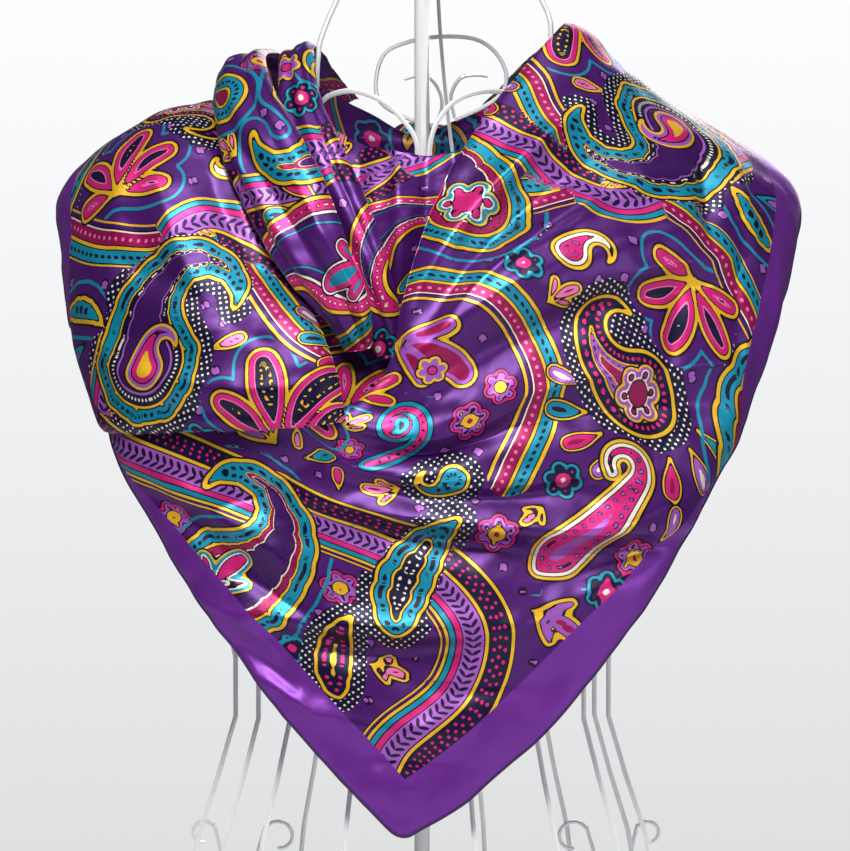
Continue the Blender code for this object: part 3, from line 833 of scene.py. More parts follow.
class PrintField:
    """The print of the flat square, as the distance to the edge of its forms."""

    FAR = -60.0
    MARGIN = 12.0
    CLEAR = 4.0
    SHRINK = 0.94
    TRIES = 8
    SCROLL_TRIES = 3
    GOLDEN_ANGLE = 137.5

    def __init__(self, motifs: dict[Layer, Sequence[Motif]], ribbons: Sequence[Ribbon]) -> None:
        """Draw all forms once; the quarter next to the corner repeats in the other three.

        Args:
            motifs: The forms of each layer.
            ribbons: The ribbons below them.
        """
        self.strokes: dict[Layer, list[tuple[int, Stroke]]] = {layer: [] for layer in Layer}
        for ribbon in ribbons:
            path = through(np.array(ribbon.knots, dtype=float), 22 * len(ribbon.knots))
            stroke = Stroke(path, np.full(len(path), ribbon.half), arc_length(path))
            self._add(Layer.RIBBON, ribbon.style, stroke)
        for layer, rows in motifs.items():
            for motif in rows:
                fitted = self._fit(motif) if layer is Layer.FORM else motif
                if fitted:
                    self.put(layer, fitted)
        self._fill()

    def _fit(self, motif: Motif) -> Optional[Motif]:
        """Make a motif small enough to keep clear of the forms before it.

        Args:
            motif: The motif as it is wanted.

        Returns:
            The motif, or None where it cannot be small enough.
        """
        for _ in range(self.SCROLL_TRIES if motif.kind is Kind.SCROLL else self.TRIES):
            if self._gap(motif) > self.CLEAR:
                return motif
            motif = motif._replace(size=motif.size * self.SHRINK)
        return None

    def _gap(self, motif: Motif) -> float:
        """Measure the least gap between a motif and the forms before it.

        Args:
            motif: The motif.

        Returns:
            The gap, below zero where they overlap.
        """
        gaps = [math.inf]
        for stroke in self._place(motif):
            spots = self._spots(stroke.centres)
            for _, other in self.strokes[Layer.FORM]:
                away = np.hypot(*(spots[:, None] - other.centres[None]).transpose(2, 0, 1))
                gaps.append(float((away - stroke.radii[:, None] - other.radii[None]).min()))
        return min(gaps)

    @staticmethod
    def _place(motif: Motif) -> list[Stroke]:
        """Return a motif's chains, moved to its foot."""
        foot = np.array((motif.across, motif.up))
        return [stroke._replace(centres=stroke.centres + foot) for stroke in draw(motif)]

    @staticmethod
    def _spots(centres: np.ndarray) -> np.ndarray:
        """Return places on the square from places across and up from its corner."""
        across, up = centres[:, 0], centres[:, 1]
        return np.stack((up + across, up - across), axis=1) / math.sqrt(2)

    def put(self, layer: Layer, motif: Motif) -> None:
        """Print one motif on a layer."""
        for stroke in self._place(motif):
            self._add(layer, motif.style, stroke)

    def _add(self, layer: Layer, style: int, stroke: Stroke) -> None:
        """Keep a chain in all four quarters of the square.

        Args:
            layer: The layer that it lies on.
            style: The number of its inking.
            stroke: The chain, across and up from the corner.
        """
        spot = self._spots(stroke.centres)
        for _ in range(4):
            self.strokes[layer].append((style, stroke._replace(centres=spot.copy())))
            spot = np.stack((SQUARE - spot[:, 1], spot[:, 0]), axis=1)

    def _fill(self) -> None:
        """Fill the open ground with small forms, the widest gaps first."""
        pitch, widest, closed, edge, turn = 5.0, 60.0, 3.0, 14, 37.0
        line = np.arange(BORDER + 4, SQUARE / 2 + 30, pitch)
        flat = np.stack([part.ravel() for part in np.meshgrid(line, line)], axis=1)
        room = np.full(len(flat), widest)
        for layer in (Layer.RIBBON, Layer.PETAL, Layer.FORM):
            for _, stroke in self.strokes[layer]:
                self._close(room, flat, stroke)
        room = np.minimum(room, flat.min(axis=1) - BORDER + edge)
        for filling in FILLINGS:
            for number in range(400):
                best = int(room.argmax())
                if room[best] < filling.least:
                    break
                turn = (turn + self.GOLDEN_ANGLE) % 360
                radius = min(room[best] - 2.5, filling.most)
                motif = self._small_form(filling, number, flat[best], turn, radius)
                start = len(self.strokes[filling.layer])
                self.put(filling.layer, motif)
                for _, stroke in self.strokes[filling.layer][start:]:
                    self._close(room, flat, stroke)
                room[best] = closed
                if motif.kind is Kind.CROSS:
                    np.minimum(room, np.hypot(*(flat - flat[best]).T) - filling.least, out=room)

    @staticmethod
    def _small_form(filling: Filling, number: int, spot: np.ndarray, turn: float,
                    radius: float) -> Motif:
        """Choose the form that fills a gap.

        Args:
            filling: The kinds to choose from.
            number: How many of them there are already.
            spot: The gap's middle on the square.
            turn: The form's direction.
            radius: The gap's radius.

        Returns:
            The form, with its middle in the gap's middle.
        """
        kind = filling.kinds[number % len(filling.kinds)]
        across, up = (spot[0] - spot[1]) / math.sqrt(2), spot.sum() / math.sqrt(2)
        back = {Kind.BOTEH: 0.25, Kind.ROSETTE: 0.0, Kind.CROSS: 0.0}.get(kind, 0.72) * radius
        grow = {Kind.BOTEH: 1.35, Kind.ROSETTE: 1.9, Kind.CROSS: 1.9, Kind.FAN: 1.5}.get(kind, 1.7)
        style = {Kind.ROSETTE: 5 + number % 2, Kind.CROSS: 7, Kind.FAN: 6,
                 Kind.TULIP: 8 if filling.layer is Layer.FORM else 4}.get(kind, number % 5)
        way = math.radians(turn)
        return Motif(kind, across - back * math.cos(way), up - back * math.sin(way), turn,
                     radius * grow, 1 if number % 2 else -1, style)

    @staticmethod
    def _close(room: np.ndarray, flat: np.ndarray, stroke: Stroke) -> None:
        """Take a chain's own space off the open room."""
        for centre, radius in zip(stroke.centres[::2], stroke.radii[::2]):
            np.minimum(room, np.hypot(*(flat - centre).T) - radius, out=room)

    @staticmethod
    def draw_in(depth: np.ndarray, reach: np.ndarray, widest: float) -> np.ndarray:
        """Draw a form's inner bands together where the form is slim.

        Args:
            depth: How deep each place lies inside the form.
            reach: The form's half width there.
            widest: The form's largest half width.

        Returns:
            The depths, with those past the outer bands scaled to the form's width.
        """
        knee = 10.0
        grow = max(widest - knee, 1.0) / (reach - knee).clip(6.0)
        return np.where(depth > knee, knee + (depth - knee) * grow.clip(1.0), depth)

    def sample(self, flat: np.ndarray, layer: Layer) -> np.ndarray:
        """Measure a layer at places on the flat square.

        Args:
            flat: The places, in millimetres, one in each row.
            layer: The layer of the print.

        Returns:
            For each place the depth inside the form's edge (below zero outside), the
            distance along the form, its style and the signed distance from its middle.
        """
        result = np.zeros((len(flat), 4))
        result[:, 0] = self.FAR
        for style, stroke in self.strokes[layer]:
            low = (stroke.centres - stroke.radii[:, None]).min(axis=0) - self.MARGIN
            high = (stroke.centres + stroke.radii[:, None]).max(axis=0) + self.MARGIN
            near = np.nonzero(((flat > low) & (flat < high)).all(axis=1))[0]
            if not len(near):
                continue
            delta = flat[near][:, None, :] - stroke.centres[None]
            away = np.hypot(delta[..., 0], delta[..., 1])
            depth = stroke.radii[None] - away
            pick = depth.argmax(axis=1)
            line = np.arange(len(near))
            best = depth[line, pick]
            if layer is Layer.FORM:
                best = self.draw_in(best, stroke.radii[pick], stroke.radii.max())
            along, side = stroke.along[pick], np.zeros(len(near))
            if len(stroke.centres) > 1:
                follow = np.gradient(stroke.centres, axis=0)[pick]
                follow = follow / np.hypot(follow[:, 0], follow[:, 1]).clip(1e-9)[:, None]
                offset = delta[line, pick]
                ahead = (offset * follow).sum(axis=1)
                side = offset[:, 1] * follow[:, 0] - offset[:, 0] * follow[:, 1]
                if layer is Layer.RIBBON:
                    along = along + ahead
                else:
                    end = (pick == 0) | (pick == len(stroke.centres) - 1)
                    lean = np.arcsin((ahead / away[line, pick].clip(1e-6)).clip(-1, 1))
                    along = along + np.where(end, lean * stroke.radii[pick], 0)
            better = best > result[near, 0]
            values = np.stack((best, along, np.full(len(best), float(style)), side), axis=1)
            result[near[better]] = values[better]
        return result

    def mark(self, mesh: bpy.types.Mesh, flat: np.ndarray) -> None:
        """Keep each point's flat place and the print's distances there.

        Args:
            mesh: The mesh.
            flat: The flat place of each of its points.
        """
        keep_vectors(mesh, CLOTH_PLACE, np.concatenate((flat, np.zeros((len(flat), 1))), axis=1))
        for layer in Layer:
            values = self.sample(flat, layer)
            keep_vectors(mesh, layer.value, values[:, :3])
            if layer is Layer.RIBBON:
                keep_numbers(mesh, RIBBON_SIDE, values[:, 3])


def paisley_motifs() -> dict[Layer, list[Motif]]:
    """Lay out this square's own curled teardrops, leaves and flowers.

    Returns:
        The forms of each layer.
    """
    forms = [Motif(*row) for row in (
        (Kind.SCALLOP, -112, 168, 62, 128, 1, 0), (Kind.STAFF, 84, 196, 48, 96, 1, 4),
        (Kind.SCROLL, -18, 286, 10, 56, 1, 5), (Kind.FAN, 34, 352, 112, 76, 1, 6),
        (Kind.BOTEH, 168, 300, 118, 118, -1, 2), (Kind.SCALLOP, -196, 330, 104, 122, -1, 3),
        (Kind.LEAF, 212, 246, 38, 104, -1, 0), (Kind.FAN, -92, 322, 78, 72, 1, 6),
        (Kind.BOTEH, -70, 446, 56, 124, -1, 1), (Kind.SCALLOP, 130, 452, 74, 132, 1, 0),
        (Kind.SCROLL, 236, 372, 60, 54, -1, 5), (Kind.STAFF, 292, 336, 84, 104, -1, 4),
        (Kind.LEAF, -268, 296, 62, 96, 1, 3), (Kind.FAN, 20, 520, 96, 82, 1, 6),
        (Kind.SCROLL, -154, 508, 120, 56, 1, 5), (Kind.LEAF, -8, 150, 70, 92, -1, 3),
        (Kind.LEAF, 232, 470, 130, 100, 1, 1), (Kind.STAFF, -250, 430, 70, 92, 1, 4),
    )]
    cores, petals = [], []
    fillings = (Kind.TULIP, Kind.ROSETTE, Kind.BOTEH)
    wide = [form for form in forms if form.kind in (Kind.BOTEH, Kind.SCALLOP)]
    for number, form in enumerate(wide):
        kind = fillings[number % 3]
        toward = math.radians(form.turn - form.hand * 26)
        back = {Kind.TULIP: 0.17, Kind.ROSETTE: 0.0, Kind.BOTEH: 0.03}[kind] * form.size
        scale = {Kind.TULIP: 0.36, Kind.ROSETTE: 0.3, Kind.BOTEH: 0.34}[kind]
        cores.append(Motif(kind, form.across - math.cos(toward) * back, form.up - math.sin(toward) * back,
                           form.turn, form.size * scale, form.hand, number % 4))
        if number % 2:
            for k in range(8):
                angle = form.turn - form.hand * 66 + form.hand * (-140 + 160 * k / 7)
                way = np.array((math.cos(math.radians(angle)), math.sin(math.radians(angle))))
                foot = np.array((form.across, form.up)) + way * form.size * 0.33
                petals.append(Motif(Kind.DROP, foot[0], foot[1], angle + form.hand * 16, form.size * 0.24,
                                    form.hand, (k + number) % 3))
    for form in forms:
        if form.kind is Kind.FAN:
            cores.append(Motif(Kind.ROSETTE, form.across, form.up, form.turn, form.size * 0.3, 1, 2))
    return {Layer.FORM: forms, Layer.CORE: cores, Layer.PETAL: petals}


RIBBONS = (
    Ribbon(0, 24, ((-14, 36), (-2, 70), (34, 112), (40, 160), (2, 208), (-62, 232), (-140, 246),
                   (-215, 262))),
    Ribbon(1, 15, ((42, 40), (78, 92), (132, 124), (184, 152), (226, 206), (256, 262))),
    Ribbon(1, 15, ((70, 262), (104, 318), (94, 386), (40, 430), (-20, 410), (-100, 396), (-170, 420))),
    Ribbon(0, 20, ((330, 420), (268, 414), (206, 420), (176, 520), (96, 560), (-10, 590), (-80, 550))),
    Ribbon(1, 13, ((-330, 360), (-270, 376), (-220, 410), (-200, 470))),
)


# ---------------------------------------------------------------- meshes and objects
def keep_vectors(mesh: bpy.types.Mesh, name: str, values: np.ndarray) -> None:
    """Keep three values at each point of a mesh."""
    attribute = mesh.attributes.new(name, "FLOAT_VECTOR", "POINT")
    attribute.data.foreach_set("vector", values.astype(np.float32).ravel())


def keep_numbers(mesh: bpy.types.Mesh, name: str, values: np.ndarray) -> None:
    """Keep one value at each point of a mesh."""
    attribute = mesh.attributes.new(name, "FLOAT", "POINT")
    attribute.data.foreach_set("value", values.astype(np.float32))


def add_object(name: str, data: bpy.types.ID) -> bpy.types.Object:
    """Add an object to the scene.

    Args:
        name: Its name.
        data: Its mesh, light or camera.

    Returns:
        The object.
    """
    thing = bpy.data.objects.new(name, data)
    bpy.context.scene.collection.objects.link(thing)
    return thing


def tube_faces(first: int, last: int, sides: int) -> list[tuple[int, ...]]:
    """List the faces of a tube that is closed at both ends.

    Args:
        first: The number of its first ring of points.
        last: The number of its last ring.
        sides: How many points each ring has.

    Returns:
        The point numbers of each face.
    """
    faces: list[tuple[int, ...]] = []
    for start in range(first * sides, last * sides, sides):
        for k in range(sides):
            here, beside = start + k, start + (k + 1) % sides
            faces.append((here, beside, beside + sides, here + sides))
    faces.append(tuple(first * sides + k for k in range(sides))[::-1])
    faces.append(tuple(last * sides + k for k in range(sides)))
    return faces


# ------------------------------------------------------------------------- materials
class NodeBench:
    """Adds nodes to a tree in a few words."""

    def __init__(self, tree: bpy.types.NodeTree) -> None:
        """Keep the tree that the nodes go to."""
        self.tree = tree
        self.count = 0

    def add(self, kind: str, **settings: object) -> bpy.types.Node:
        """Add a node.

        Args:
            kind: The node's type.
            **settings: The values of its own settings.

        Returns:
            The node.
        """
        node = self.tree.nodes.new(kind)
        node.location = (self.count % 14) * 190, -(self.count // 14) * 260
        self.count += 1
        for name, value in settings.items():
            setattr(node, name, value)
        return node

    def plug(self, socket: Socket, value: object) -> None:
        """Link a socket, or set its value where a plain one is given.

        Args:
            socket: The input.
            value: An output to link, a plain value, or None to leave the socket as it is.
        """
        if isinstance(value, bpy.types.NodeSocket):
            self.tree.links.new(value, socket)
        elif value is not None:
            socket.default_value = value

    def plug_all(self, node: bpy.types.Node, values: dict[object, object]) -> bpy.types.Node:
        """Link or set several of a node's inputs.

        Args:
            node: The node.
            values: What goes into each input, by its name or number.

        Returns:
            The node.
        """
        for key, value in values.items():
            self.plug(node.inputs[key], value)
        return node

    def math(self, operation: str, first: object, second: object = None, third: object = None,
             clamp: bool = False) -> Socket:
        """Return the value of a Math node."""
        node = self.add("ShaderNodeMath", operation=operation, use_clamp=clamp)
        return self.plug_all(node, {0: first, 1: second, 2: third}).outputs[0]

    def mix(self, share: object, low: object, high: object, blend: str = "MIX") -> Socket:
        """Return the colour of a Mix node."""
        node = self.add("ShaderNodeMix", data_type="RGBA", blend_type=blend)
        return self.plug_all(node, {0: share, 6: low, 7: high}).outputs[2]

    def noise(self, place: Optional[Socket], scale: float, detail: float = 2.0,
              space: str = "3D") -> Socket:
        """Return the value of a noise texture, read at place or at the object's own place."""
        node = self.add("ShaderNodeTexNoise", noise_dimensions=space)
        return self.plug_all(node, {"Vector": place, "Scale": scale, "Detail": detail}).outputs["Fac"]

    def bump(self, height: Socket, distance: float, strength: float = 1.0) -> Socket:
        """Return the normal that a height bends."""
        node = self.add("ShaderNodeBump")
        return self.plug_all(node, {"Strength": strength, "Distance": distance, "Height": height}).outputs[0]

    def value(self, name: str) -> Socket:
        """Return a mesh attribute that is a single value."""
        return self.add("ShaderNodeAttribute", attribute_name=name).outputs["Fac"]

    def attribute(self, name: str) -> Socket:
        """Return a mesh attribute that is a vector."""
        return self.add("ShaderNodeAttribute", attribute_name=name).outputs["Vector"]

    def split(self, vector: Socket) -> Sequence[Socket]:
        """Return the three values of a vector."""
        return self.plug_all(self.add("ShaderNodeSeparateXYZ"), {0: vector}).outputs

    def span(self, value: Socket, bounds: Sequence[float]) -> Socket:
        """Return a value moved from one range, the first two bounds, to another."""
        return self.plug_all(self.add("ShaderNodeMapRange"), dict(enumerate((value, *bounds)))).outputs[0]

    def bands(self, scaled: Socket, bands: Sequence[tuple], shift: float,
              span: float) -> bpy.types.Node:
        """Lay inks in bands over a scaled distance.

        Args:
            scaled: The distance, from 0 to 1.
            bands: The values of each Band, in millimetres.
            shift: What is added to a distance in millimetres to scale it.
            span: What it is then divided by.

        Returns:
            The ramp.
        """
        node = self.add("ShaderNodeValToRGB")
        ramp = node.color_ramp
        ramp.interpolation = "CONSTANT"
        ramp.elements[0].position = 0.0
        ramp.elements[0].color = NO_INK
        ramp.elements.remove(ramp.elements[1])
        for band in (Band(*values) for values in bands):
            steps = [(band.start, band.ink)]
            if band.line:
                steps.insert(0, (band.start - band.line, Ink.SHADE))
            for start, ink in steps:
                start -= OUTLINE if ink is Ink.SHADE else 0.0
                element = ramp.elements.new((start + shift) / span)
                element.color = ink.value if ink else NO_INK
        self.plug(node.inputs[0], scaled)
        return node

    def below(self, value: object, limit: object) -> Socket:
        """Return 1 where value is less than limit."""
        return self.math("LESS_THAN", value, limit)


def start_material(name: str) -> tuple[bpy.types.Material, NodeBench, bpy.types.Node]:
    """Start a material that is made of nodes.

    Args:
        name: The material's name.

    Returns:
        The material, a bench for its nodes and its shader.
    """
    material = bpy.data.materials.new(name)
    material.use_nodes = True
    tree = material.node_tree
    return material, NodeBench(tree), tree.nodes["Principled BSDF"]


def new_group(name: str, inputs: Sequence[tuple[str, str, object]], outputs: Sequence[tuple[str, str]]
              ) -> tuple[bpy.types.NodeTree, bpy.types.Node, bpy.types.Node]:
    """Make a shader node group.

    Args:
        name: The group's name.
        inputs: Name, socket type and default value of each input.
        outputs: Name and socket type of each output.

    Returns:
        The group, its input node and its output node.
    """
    group = bpy.data.node_groups.new(name, "ShaderNodeTree")
    for label, kind, default in inputs:
        socket = group.interface.new_socket(label, in_out="INPUT", socket_type=kind)
        socket.default_value = default
    for label, kind in outputs:
        group.interface.new_socket(label, in_out="OUTPUT", socket_type=kind)
    return group, group.nodes.new("NodeGroupInput"), group.nodes.new("NodeGroupOutput")


class Dots(NamedTuple):
    """A row of dots or leaves in a band: its depth, pitch, half length, half width, ink."""

    depth: float
    pitch: float
    length: float
    width: float
    ink: Ink
    slant: float = 0.0


# A depth that no form has.
NEVER = 99.0


class Band(NamedTuple):
    """A band of ink: where it starts, its ink, and the width of the dark line before it."""

    start: float
    ink: Optional[Ink]
    line: float = 0.0


class Style(NamedTuple):
    """How a form is inked: bands by depth, rows of dots, and a fill of fine specks."""

    bands: Sequence[tuple]
    dots: Sequence[Dots] = ()
    specks_from: float = NEVER
    specks: Ink = Ink.SHADE
    halo: bool = False


STYLES: dict[Layer, Sequence[Style]] = {
    Layer.RIBBON: (
        Style(((-23.4, Ink.SAFFRON, 0.6), (-20.2, Ink.NAVY, 0.6), (-7.0, Ink.SAFFRON, 0.6),
               (-3.8, Ink.LILAC, 0.6), (9.5, Ink.PINK, 0.5), (14.0, Ink.TURQUOISE, 0.6),
               (17.9, Ink.SAFFRON, 0.5), (20.5, Ink.PURPLE, 0.5), (22.0, Ink.SAFFRON), (23.5, Ink.SHADE)),
              (Dots(-17.4, 6.4, 1.1, 1.1, Ink.PINK), Dots(-13.9, 5.6, 1.1, 1.1, Ink.PINK),
               Dots(-10.4, 6.4, 1.1, 1.1, Ink.PINK), Dots(0.3, 5.4, 1.5, 2.6, Ink.NAVY, 0.7),
               Dots(5.4, 5.4, 1.5, 2.6, Ink.NAVY, -0.7))),
        Style(((-14.4, Ink.SAFFRON, 0.6), (-11.2, Ink.TURQUOISE, 0.6), (-2.9, Ink.SAFFRON, 0.5),
               (-0.3, Ink.MAGENTA, 0.5), (7.4, Ink.CREAM), (9.2, Ink.PURPLE, 0.6), (11.6, Ink.SAFFRON),
               (14, Ink.SHADE)),
              (Dots(-7.3, 5.4, 1.7, 1.2, Ink.NAVY, 0.5), Dots(3.4, 5.6, 1.2, 1.2, Ink.ROSE))),
    ),
    Layer.PETAL: (
        Style(((0, Ink.SAFFRON, 0.8), (1.8, Ink.PINK, 0.4), (4.2, Ink.MAGENTA))),
        Style(((0, Ink.SAFFRON, 0.8), (1.8, Ink.TURQUOISE, 0.4), (4.2, Ink.NAVY))),
        Style(((0, Ink.SAFFRON, 0.8), (1.7, Ink.LILAC, 0.4), (4.0, Ink.CREAM))),
        Style(((0, Ink.TURQUOISE, 0.8), (2.6, Ink.LILAC, 0.4), (5.6, Ink.PINK))),
        Style(((0, Ink.SAFFRON, 0.8), (2.2, Ink.ROSE, 0.4), (4.0, Ink.MAGENTA))),
        Style(((0, Ink.PINK, 0.7), (2.1, Ink.LILAC, 0.3), (4.4, Ink.SAFFRON, 0.4), (7.4, Ink.MAGENTA))),
        Style(((0, Ink.TURQUOISE, 0.7), (2.4, Ink.NAVY, 0.4), (4.0, Ink.PINK), (7.2, Ink.CREAM))),
        Style(((0, Ink.LILAC, 0.5),)),
    ),
    Layer.FORM: (
        Style(((-9.2, Ink.TURQUOISE), (-7.2, None), (0, Ink.SAFFRON, 1), (3.1, Ink.TURQUOISE, 0.5),
               (11.1, Ink.SAFFRON, 0.5), (13.5, Ink.MAGENTA, 0.5), (19.5, Ink.CREAM),
               (21.8, Ink.PURPLE, 0.6)),
              (Dots(6.9, 6.0, 1.9, 1.4, Ink.NAVY, 0.5),), 13.8),
        Style(((0, Ink.SAFFRON, 1), (2.9, Ink.PINK, 0.5), (10.1, Ink.CREAM, 0.5),
               (12.9, Ink.PURPLE, 0.5), (18.6, Ink.TURQUOISE), (21.0, Ink.PLUM, 0.6)),
              (Dots(6.3, 5.4, 1.5, 1.5, Ink.MAGENTA), Dots(6.3, 5.4, 0.7, 0.7, Ink.CREAM))),
        Style(((-8.8, Ink.NAVY), (0, Ink.SAFFRON, 1), (2.9, Ink.NAVY, 0.5), (10.0, Ink.SAFFRON),
               (12.3, Ink.LILAC, 0.5), (19, Ink.SAFFRON), (21.2, Ink.MAGENTA, 0.6)),
              (Dots(6.4, 5.4, 1.4, 1.4, Ink.PINK), Dots(15.6, 5.0, 1.6, 1.0, Ink.NAVY, 0.8)), halo=True),
        Style(((-8.8, Ink.NAVY), (0, Ink.SAFFRON, 1), (2.8, Ink.TURQUOISE, 0.6),
               (10.6, Ink.SAFFRON, 0.6), (12.9, Ink.NAVY, 0.5), (19.0, Ink.LILAC),
               (21.6, Ink.PURPLE, 0.6)),
              (Dots(6.4, 5.8, 1.6, 1.5, Ink.NAVY), Dots(15.9, 4.6, 1.1, 1.1, Ink.CREAM)), halo=True),
        Style(((0, Ink.SAFFRON, 1), (2.7, Ink.CREAM, 0.5), (5.5, Ink.PINK, 0.5), (14, Ink.LILAC)),
              (Dots(8.6, 7.0, 1.6, 1.6, Ink.NAVY), Dots(8.6, 7.0, 0.9, 0.9, Ink.LILAC))),
        Style(((0, Ink.TURQUOISE, 0.9), (3.9, Ink.PINK, 0.5)),
              (Dots(6.2, 6.4, 1.1, 1.1, Ink.NAVY),)),
        Style(((-8.6, Ink.TURQUOISE), (-6.8, None), (0, Ink.SAFFRON, 1), (2.6, Ink.PINK, 0.4),
               (5.6, Ink.ROSE), (7.2, Ink.NAVY, 0.4)),
              (Dots(10.4, 4.6, 0.9, 0.9, Ink.SAFFRON),)),
        Style(((0, Ink.LILAC, 0.5),)),
        Style(((0, Ink.SAFFRON, 1), (2.8, Ink.LILAC, 0.4), (5.4, Ink.MAGENTA))),
    ),
    Layer.CORE: (
        Style(((0, Ink.SAFFRON, 0.8), (1.3, Ink.TURQUOISE), (3.1, Ink.CREAM), (4.8, Ink.PINK, 0.5))),
        Style(((0, Ink.SAFFRON, 0.8), (1.4, Ink.LILAC), (3.4, Ink.CREAM), (5.1, Ink.MAGENTA, 0.5))),
        Style(((0, Ink.SAFFRON, 0.8), (1.6, Ink.LILAC), (4.8, Ink.PINK, 0.6), (8, Ink.SAFFRON))),
        Style(((0, Ink.CREAM, 0.8), (1.7, Ink.PINK, 0.5), (4.8, Ink.TURQUOISE))),
    ),
}


class PrintInks:
    """Builds the group that colours the print from the cloth's attributes."""

    # The length of each ramp in millimetres, and where zero lies on it.
    SPAN = 60.0
    FORM_SHIFT = 12.0
    RIBBON_SHIFT = 30.0
    # How far outside a form its halo of specks and its echo lie.
    HALO = -0.9
    ECHO = -1.5

    def __init__(self) -> None:
        """Start an empty group."""
        self.group, _, self.out = new_group("paisley_print", (), (("Color", "NodeSocketColor"),))
        self.bench = NodeBench(self.group)
        self.on_ribbon: object = 0.0
        self.place = self.bench.attribute(CLOTH_PLACE)

    def specks(self, pitch: float, spread: float, radius: float) -> Socket:
        """Strew specks near to a lattice.

        Args:
            pitch: The lattice's pitch.
            spread: How far they stray from it.
            radius: Their radius.

        Returns:
            Their mask.
        """
        bench = self.bench
        cells = bench.add("ShaderNodeTexVoronoi", voronoi_dimensions="2D", feature="F1")
        bench.plug_all(cells, {"Vector": self.place, "Scale": 1 / pitch, "Randomness": spread})
        return bench.below(cells.outputs["Distance"], radius / pitch)

    def row(self, dots: Dots, across: Socket, along: Socket) -> Socket:
        """Draw a row of dots.

        Args:
            dots: The row.
            across: The distance across the form.
            along: The distance along it.

        Returns:
            The row's mask.
        """
        bench = self.bench
        off = bench.math("SUBTRACT", across, dots.depth)
        shifted = bench.math("MULTIPLY_ADD", off, dots.slant, along) if dots.slant else along
        step = bench.math("PINGPONG", shifted, dots.pitch / 2)
        around = bench.math("DIVIDE", step, dots.length)
        beside = bench.math("DIVIDE", off, dots.width)
        total = bench.math("MULTIPLY_ADD", around, around, bench.math("MULTIPLY", beside, beside))
        return bench.below(total, 1.0)

    def layer(self, layer: Layer, under: Socket, fine: Socket, coarse: Socket) -> Socket:
        """Lay one layer of forms over the colour below it.

        Args:
            layer: The layer.
            under: The colour below.
            fine: The mask of fine specks.
            coarse: The mask of larger specks.

        Returns:
            The colour with the layer.
        """
        bench = self.bench
        depth, along, style = bench.split(bench.attribute(layer.value))
        across, shift, span = depth, self.FORM_SHIFT, self.SPAN
        if layer is Layer.RIBBON:
            across, shift = bench.value(RIBBON_SIDE), self.RIBBON_SHIFT
        scaled = bench.math("DIVIDE", bench.math("ADD", across, shift), span, clamp=True)
        painted, cover = None, None
        for number, inked in enumerate(STYLES[layer]):
            node = bench.bands(scaled, inked.bands, shift, span)
            fill: Socket = node.outputs["Color"]
            for dots in inked.dots:
                fill = bench.mix(self.row(dots, across, along), fill, dots.ink.value)
            if inked.halo:
                white = bench.math("MULTIPLY", coarse, bench.below(depth, self.HALO))
                fill = bench.mix(white, fill, Ink.CREAM.value)
            if inked.specks_from < NEVER:
                inside = bench.math("GREATER_THAN", depth, inked.specks_from)
                inside = bench.math("MULTIPLY", fine, inside)
                fill = bench.mix(bench.math("MULTIPLY", inside, 0.8), fill, inked.specks.value)
            here = bench.math("COMPARE", style, float(number), 0.5)
            share = bench.math("MULTIPLY", node.outputs["Alpha"], here)
            painted = fill if painted is None else bench.mix(here, painted, fill)
            cover = share if cover is None else bench.math("ADD", cover, share, clamp=True)
        if layer is Layer.RIBBON:
            cover = bench.math("MULTIPLY", cover, bench.math("GREATER_THAN", depth, 0.0))
            self.on_ribbon = bench.math("GREATER_THAN", depth, -1.0)
        elif layer is Layer.FORM:
            echo = bench.math("MULTIPLY", bench.below(depth, self.ECHO), self.on_ribbon)
            cover = bench.math("MULTIPLY", cover, bench.math("SUBTRACT", 1.0, echo))
        return bench.mix(cover, under, painted)

    def build(self) -> bpy.types.NodeTree:
        """Build the ground, the layers and the plain border.

        Returns:
            The group.
        """
        bench = self.bench
        u, v, _ = bench.split(self.place)
        tone = bench.noise(self.place, 0.02, space="2D")
        colour = bench.mix(tone, Ink.PURPLE.value, Ink.PLUM.value)
        fine, coarse = self.specks(3.7, 0.7, 0.62), self.specks(3.7, 0.2, 0.8)
        for layer in Layer:
            colour = self.layer(layer, colour, fine, coarse)
        far_u, far_v = bench.math("SUBTRACT", SQUARE, u), bench.math("SUBTRACT", SQUARE, v)
        edge = bench.math("MINIMUM", bench.math("MINIMUM", u, v), bench.math("MINIMUM", far_u, far_v))
        colour = bench.mix(bench.below(edge, BORDER), colour, Ink.VIOLET.value)
        bench.plug(self.out.inputs["Color"], colour)
        return self.group


def weave_group() -> bpy.types.NodeTree:
    """Build the group that gives satin its floats and its fine puckers.

    Returns:
        The group.
    """
    group, entry, out = new_group(
        "satin_weave", (("Floats", "NodeSocketFloat", 1.0), ("Puckers", "NodeSocketFloat", 1.0)),
        (("Height", "NodeSocketFloat"), ("Tone", "NodeSocketFloat")))
    bench = NodeBench(group)
    place = bench.attribute(CLOTH_PLACE)

    def stretched(scale: tuple[float, float, float], detail: float) -> Socket:
        """Return a noise that is stretched over the flat cloth."""
        vector = bench.add("ShaderNodeVectorMath", operation="MULTIPLY")
        return bench.noise(bench.plug_all(vector, {0: place, 1: scale}).outputs[0], 1.0, detail)

    floats = bench.math("MULTIPLY", stretched((0.5, 4.6, 1), 1.0), entry.outputs["Floats"])
    puckers = bench.math("MULTIPLY", stretched((0.035, 0.05, 1), 2.5), entry.outputs["Puckers"])
    bench.plug(out.inputs["Height"], bench.math("ADD", bench.math("MULTIPLY", floats, 0.02), puckers))
    bench.plug(out.inputs["Tone"], stretched((0.9, 7.0, 1), 2.0))
    return group


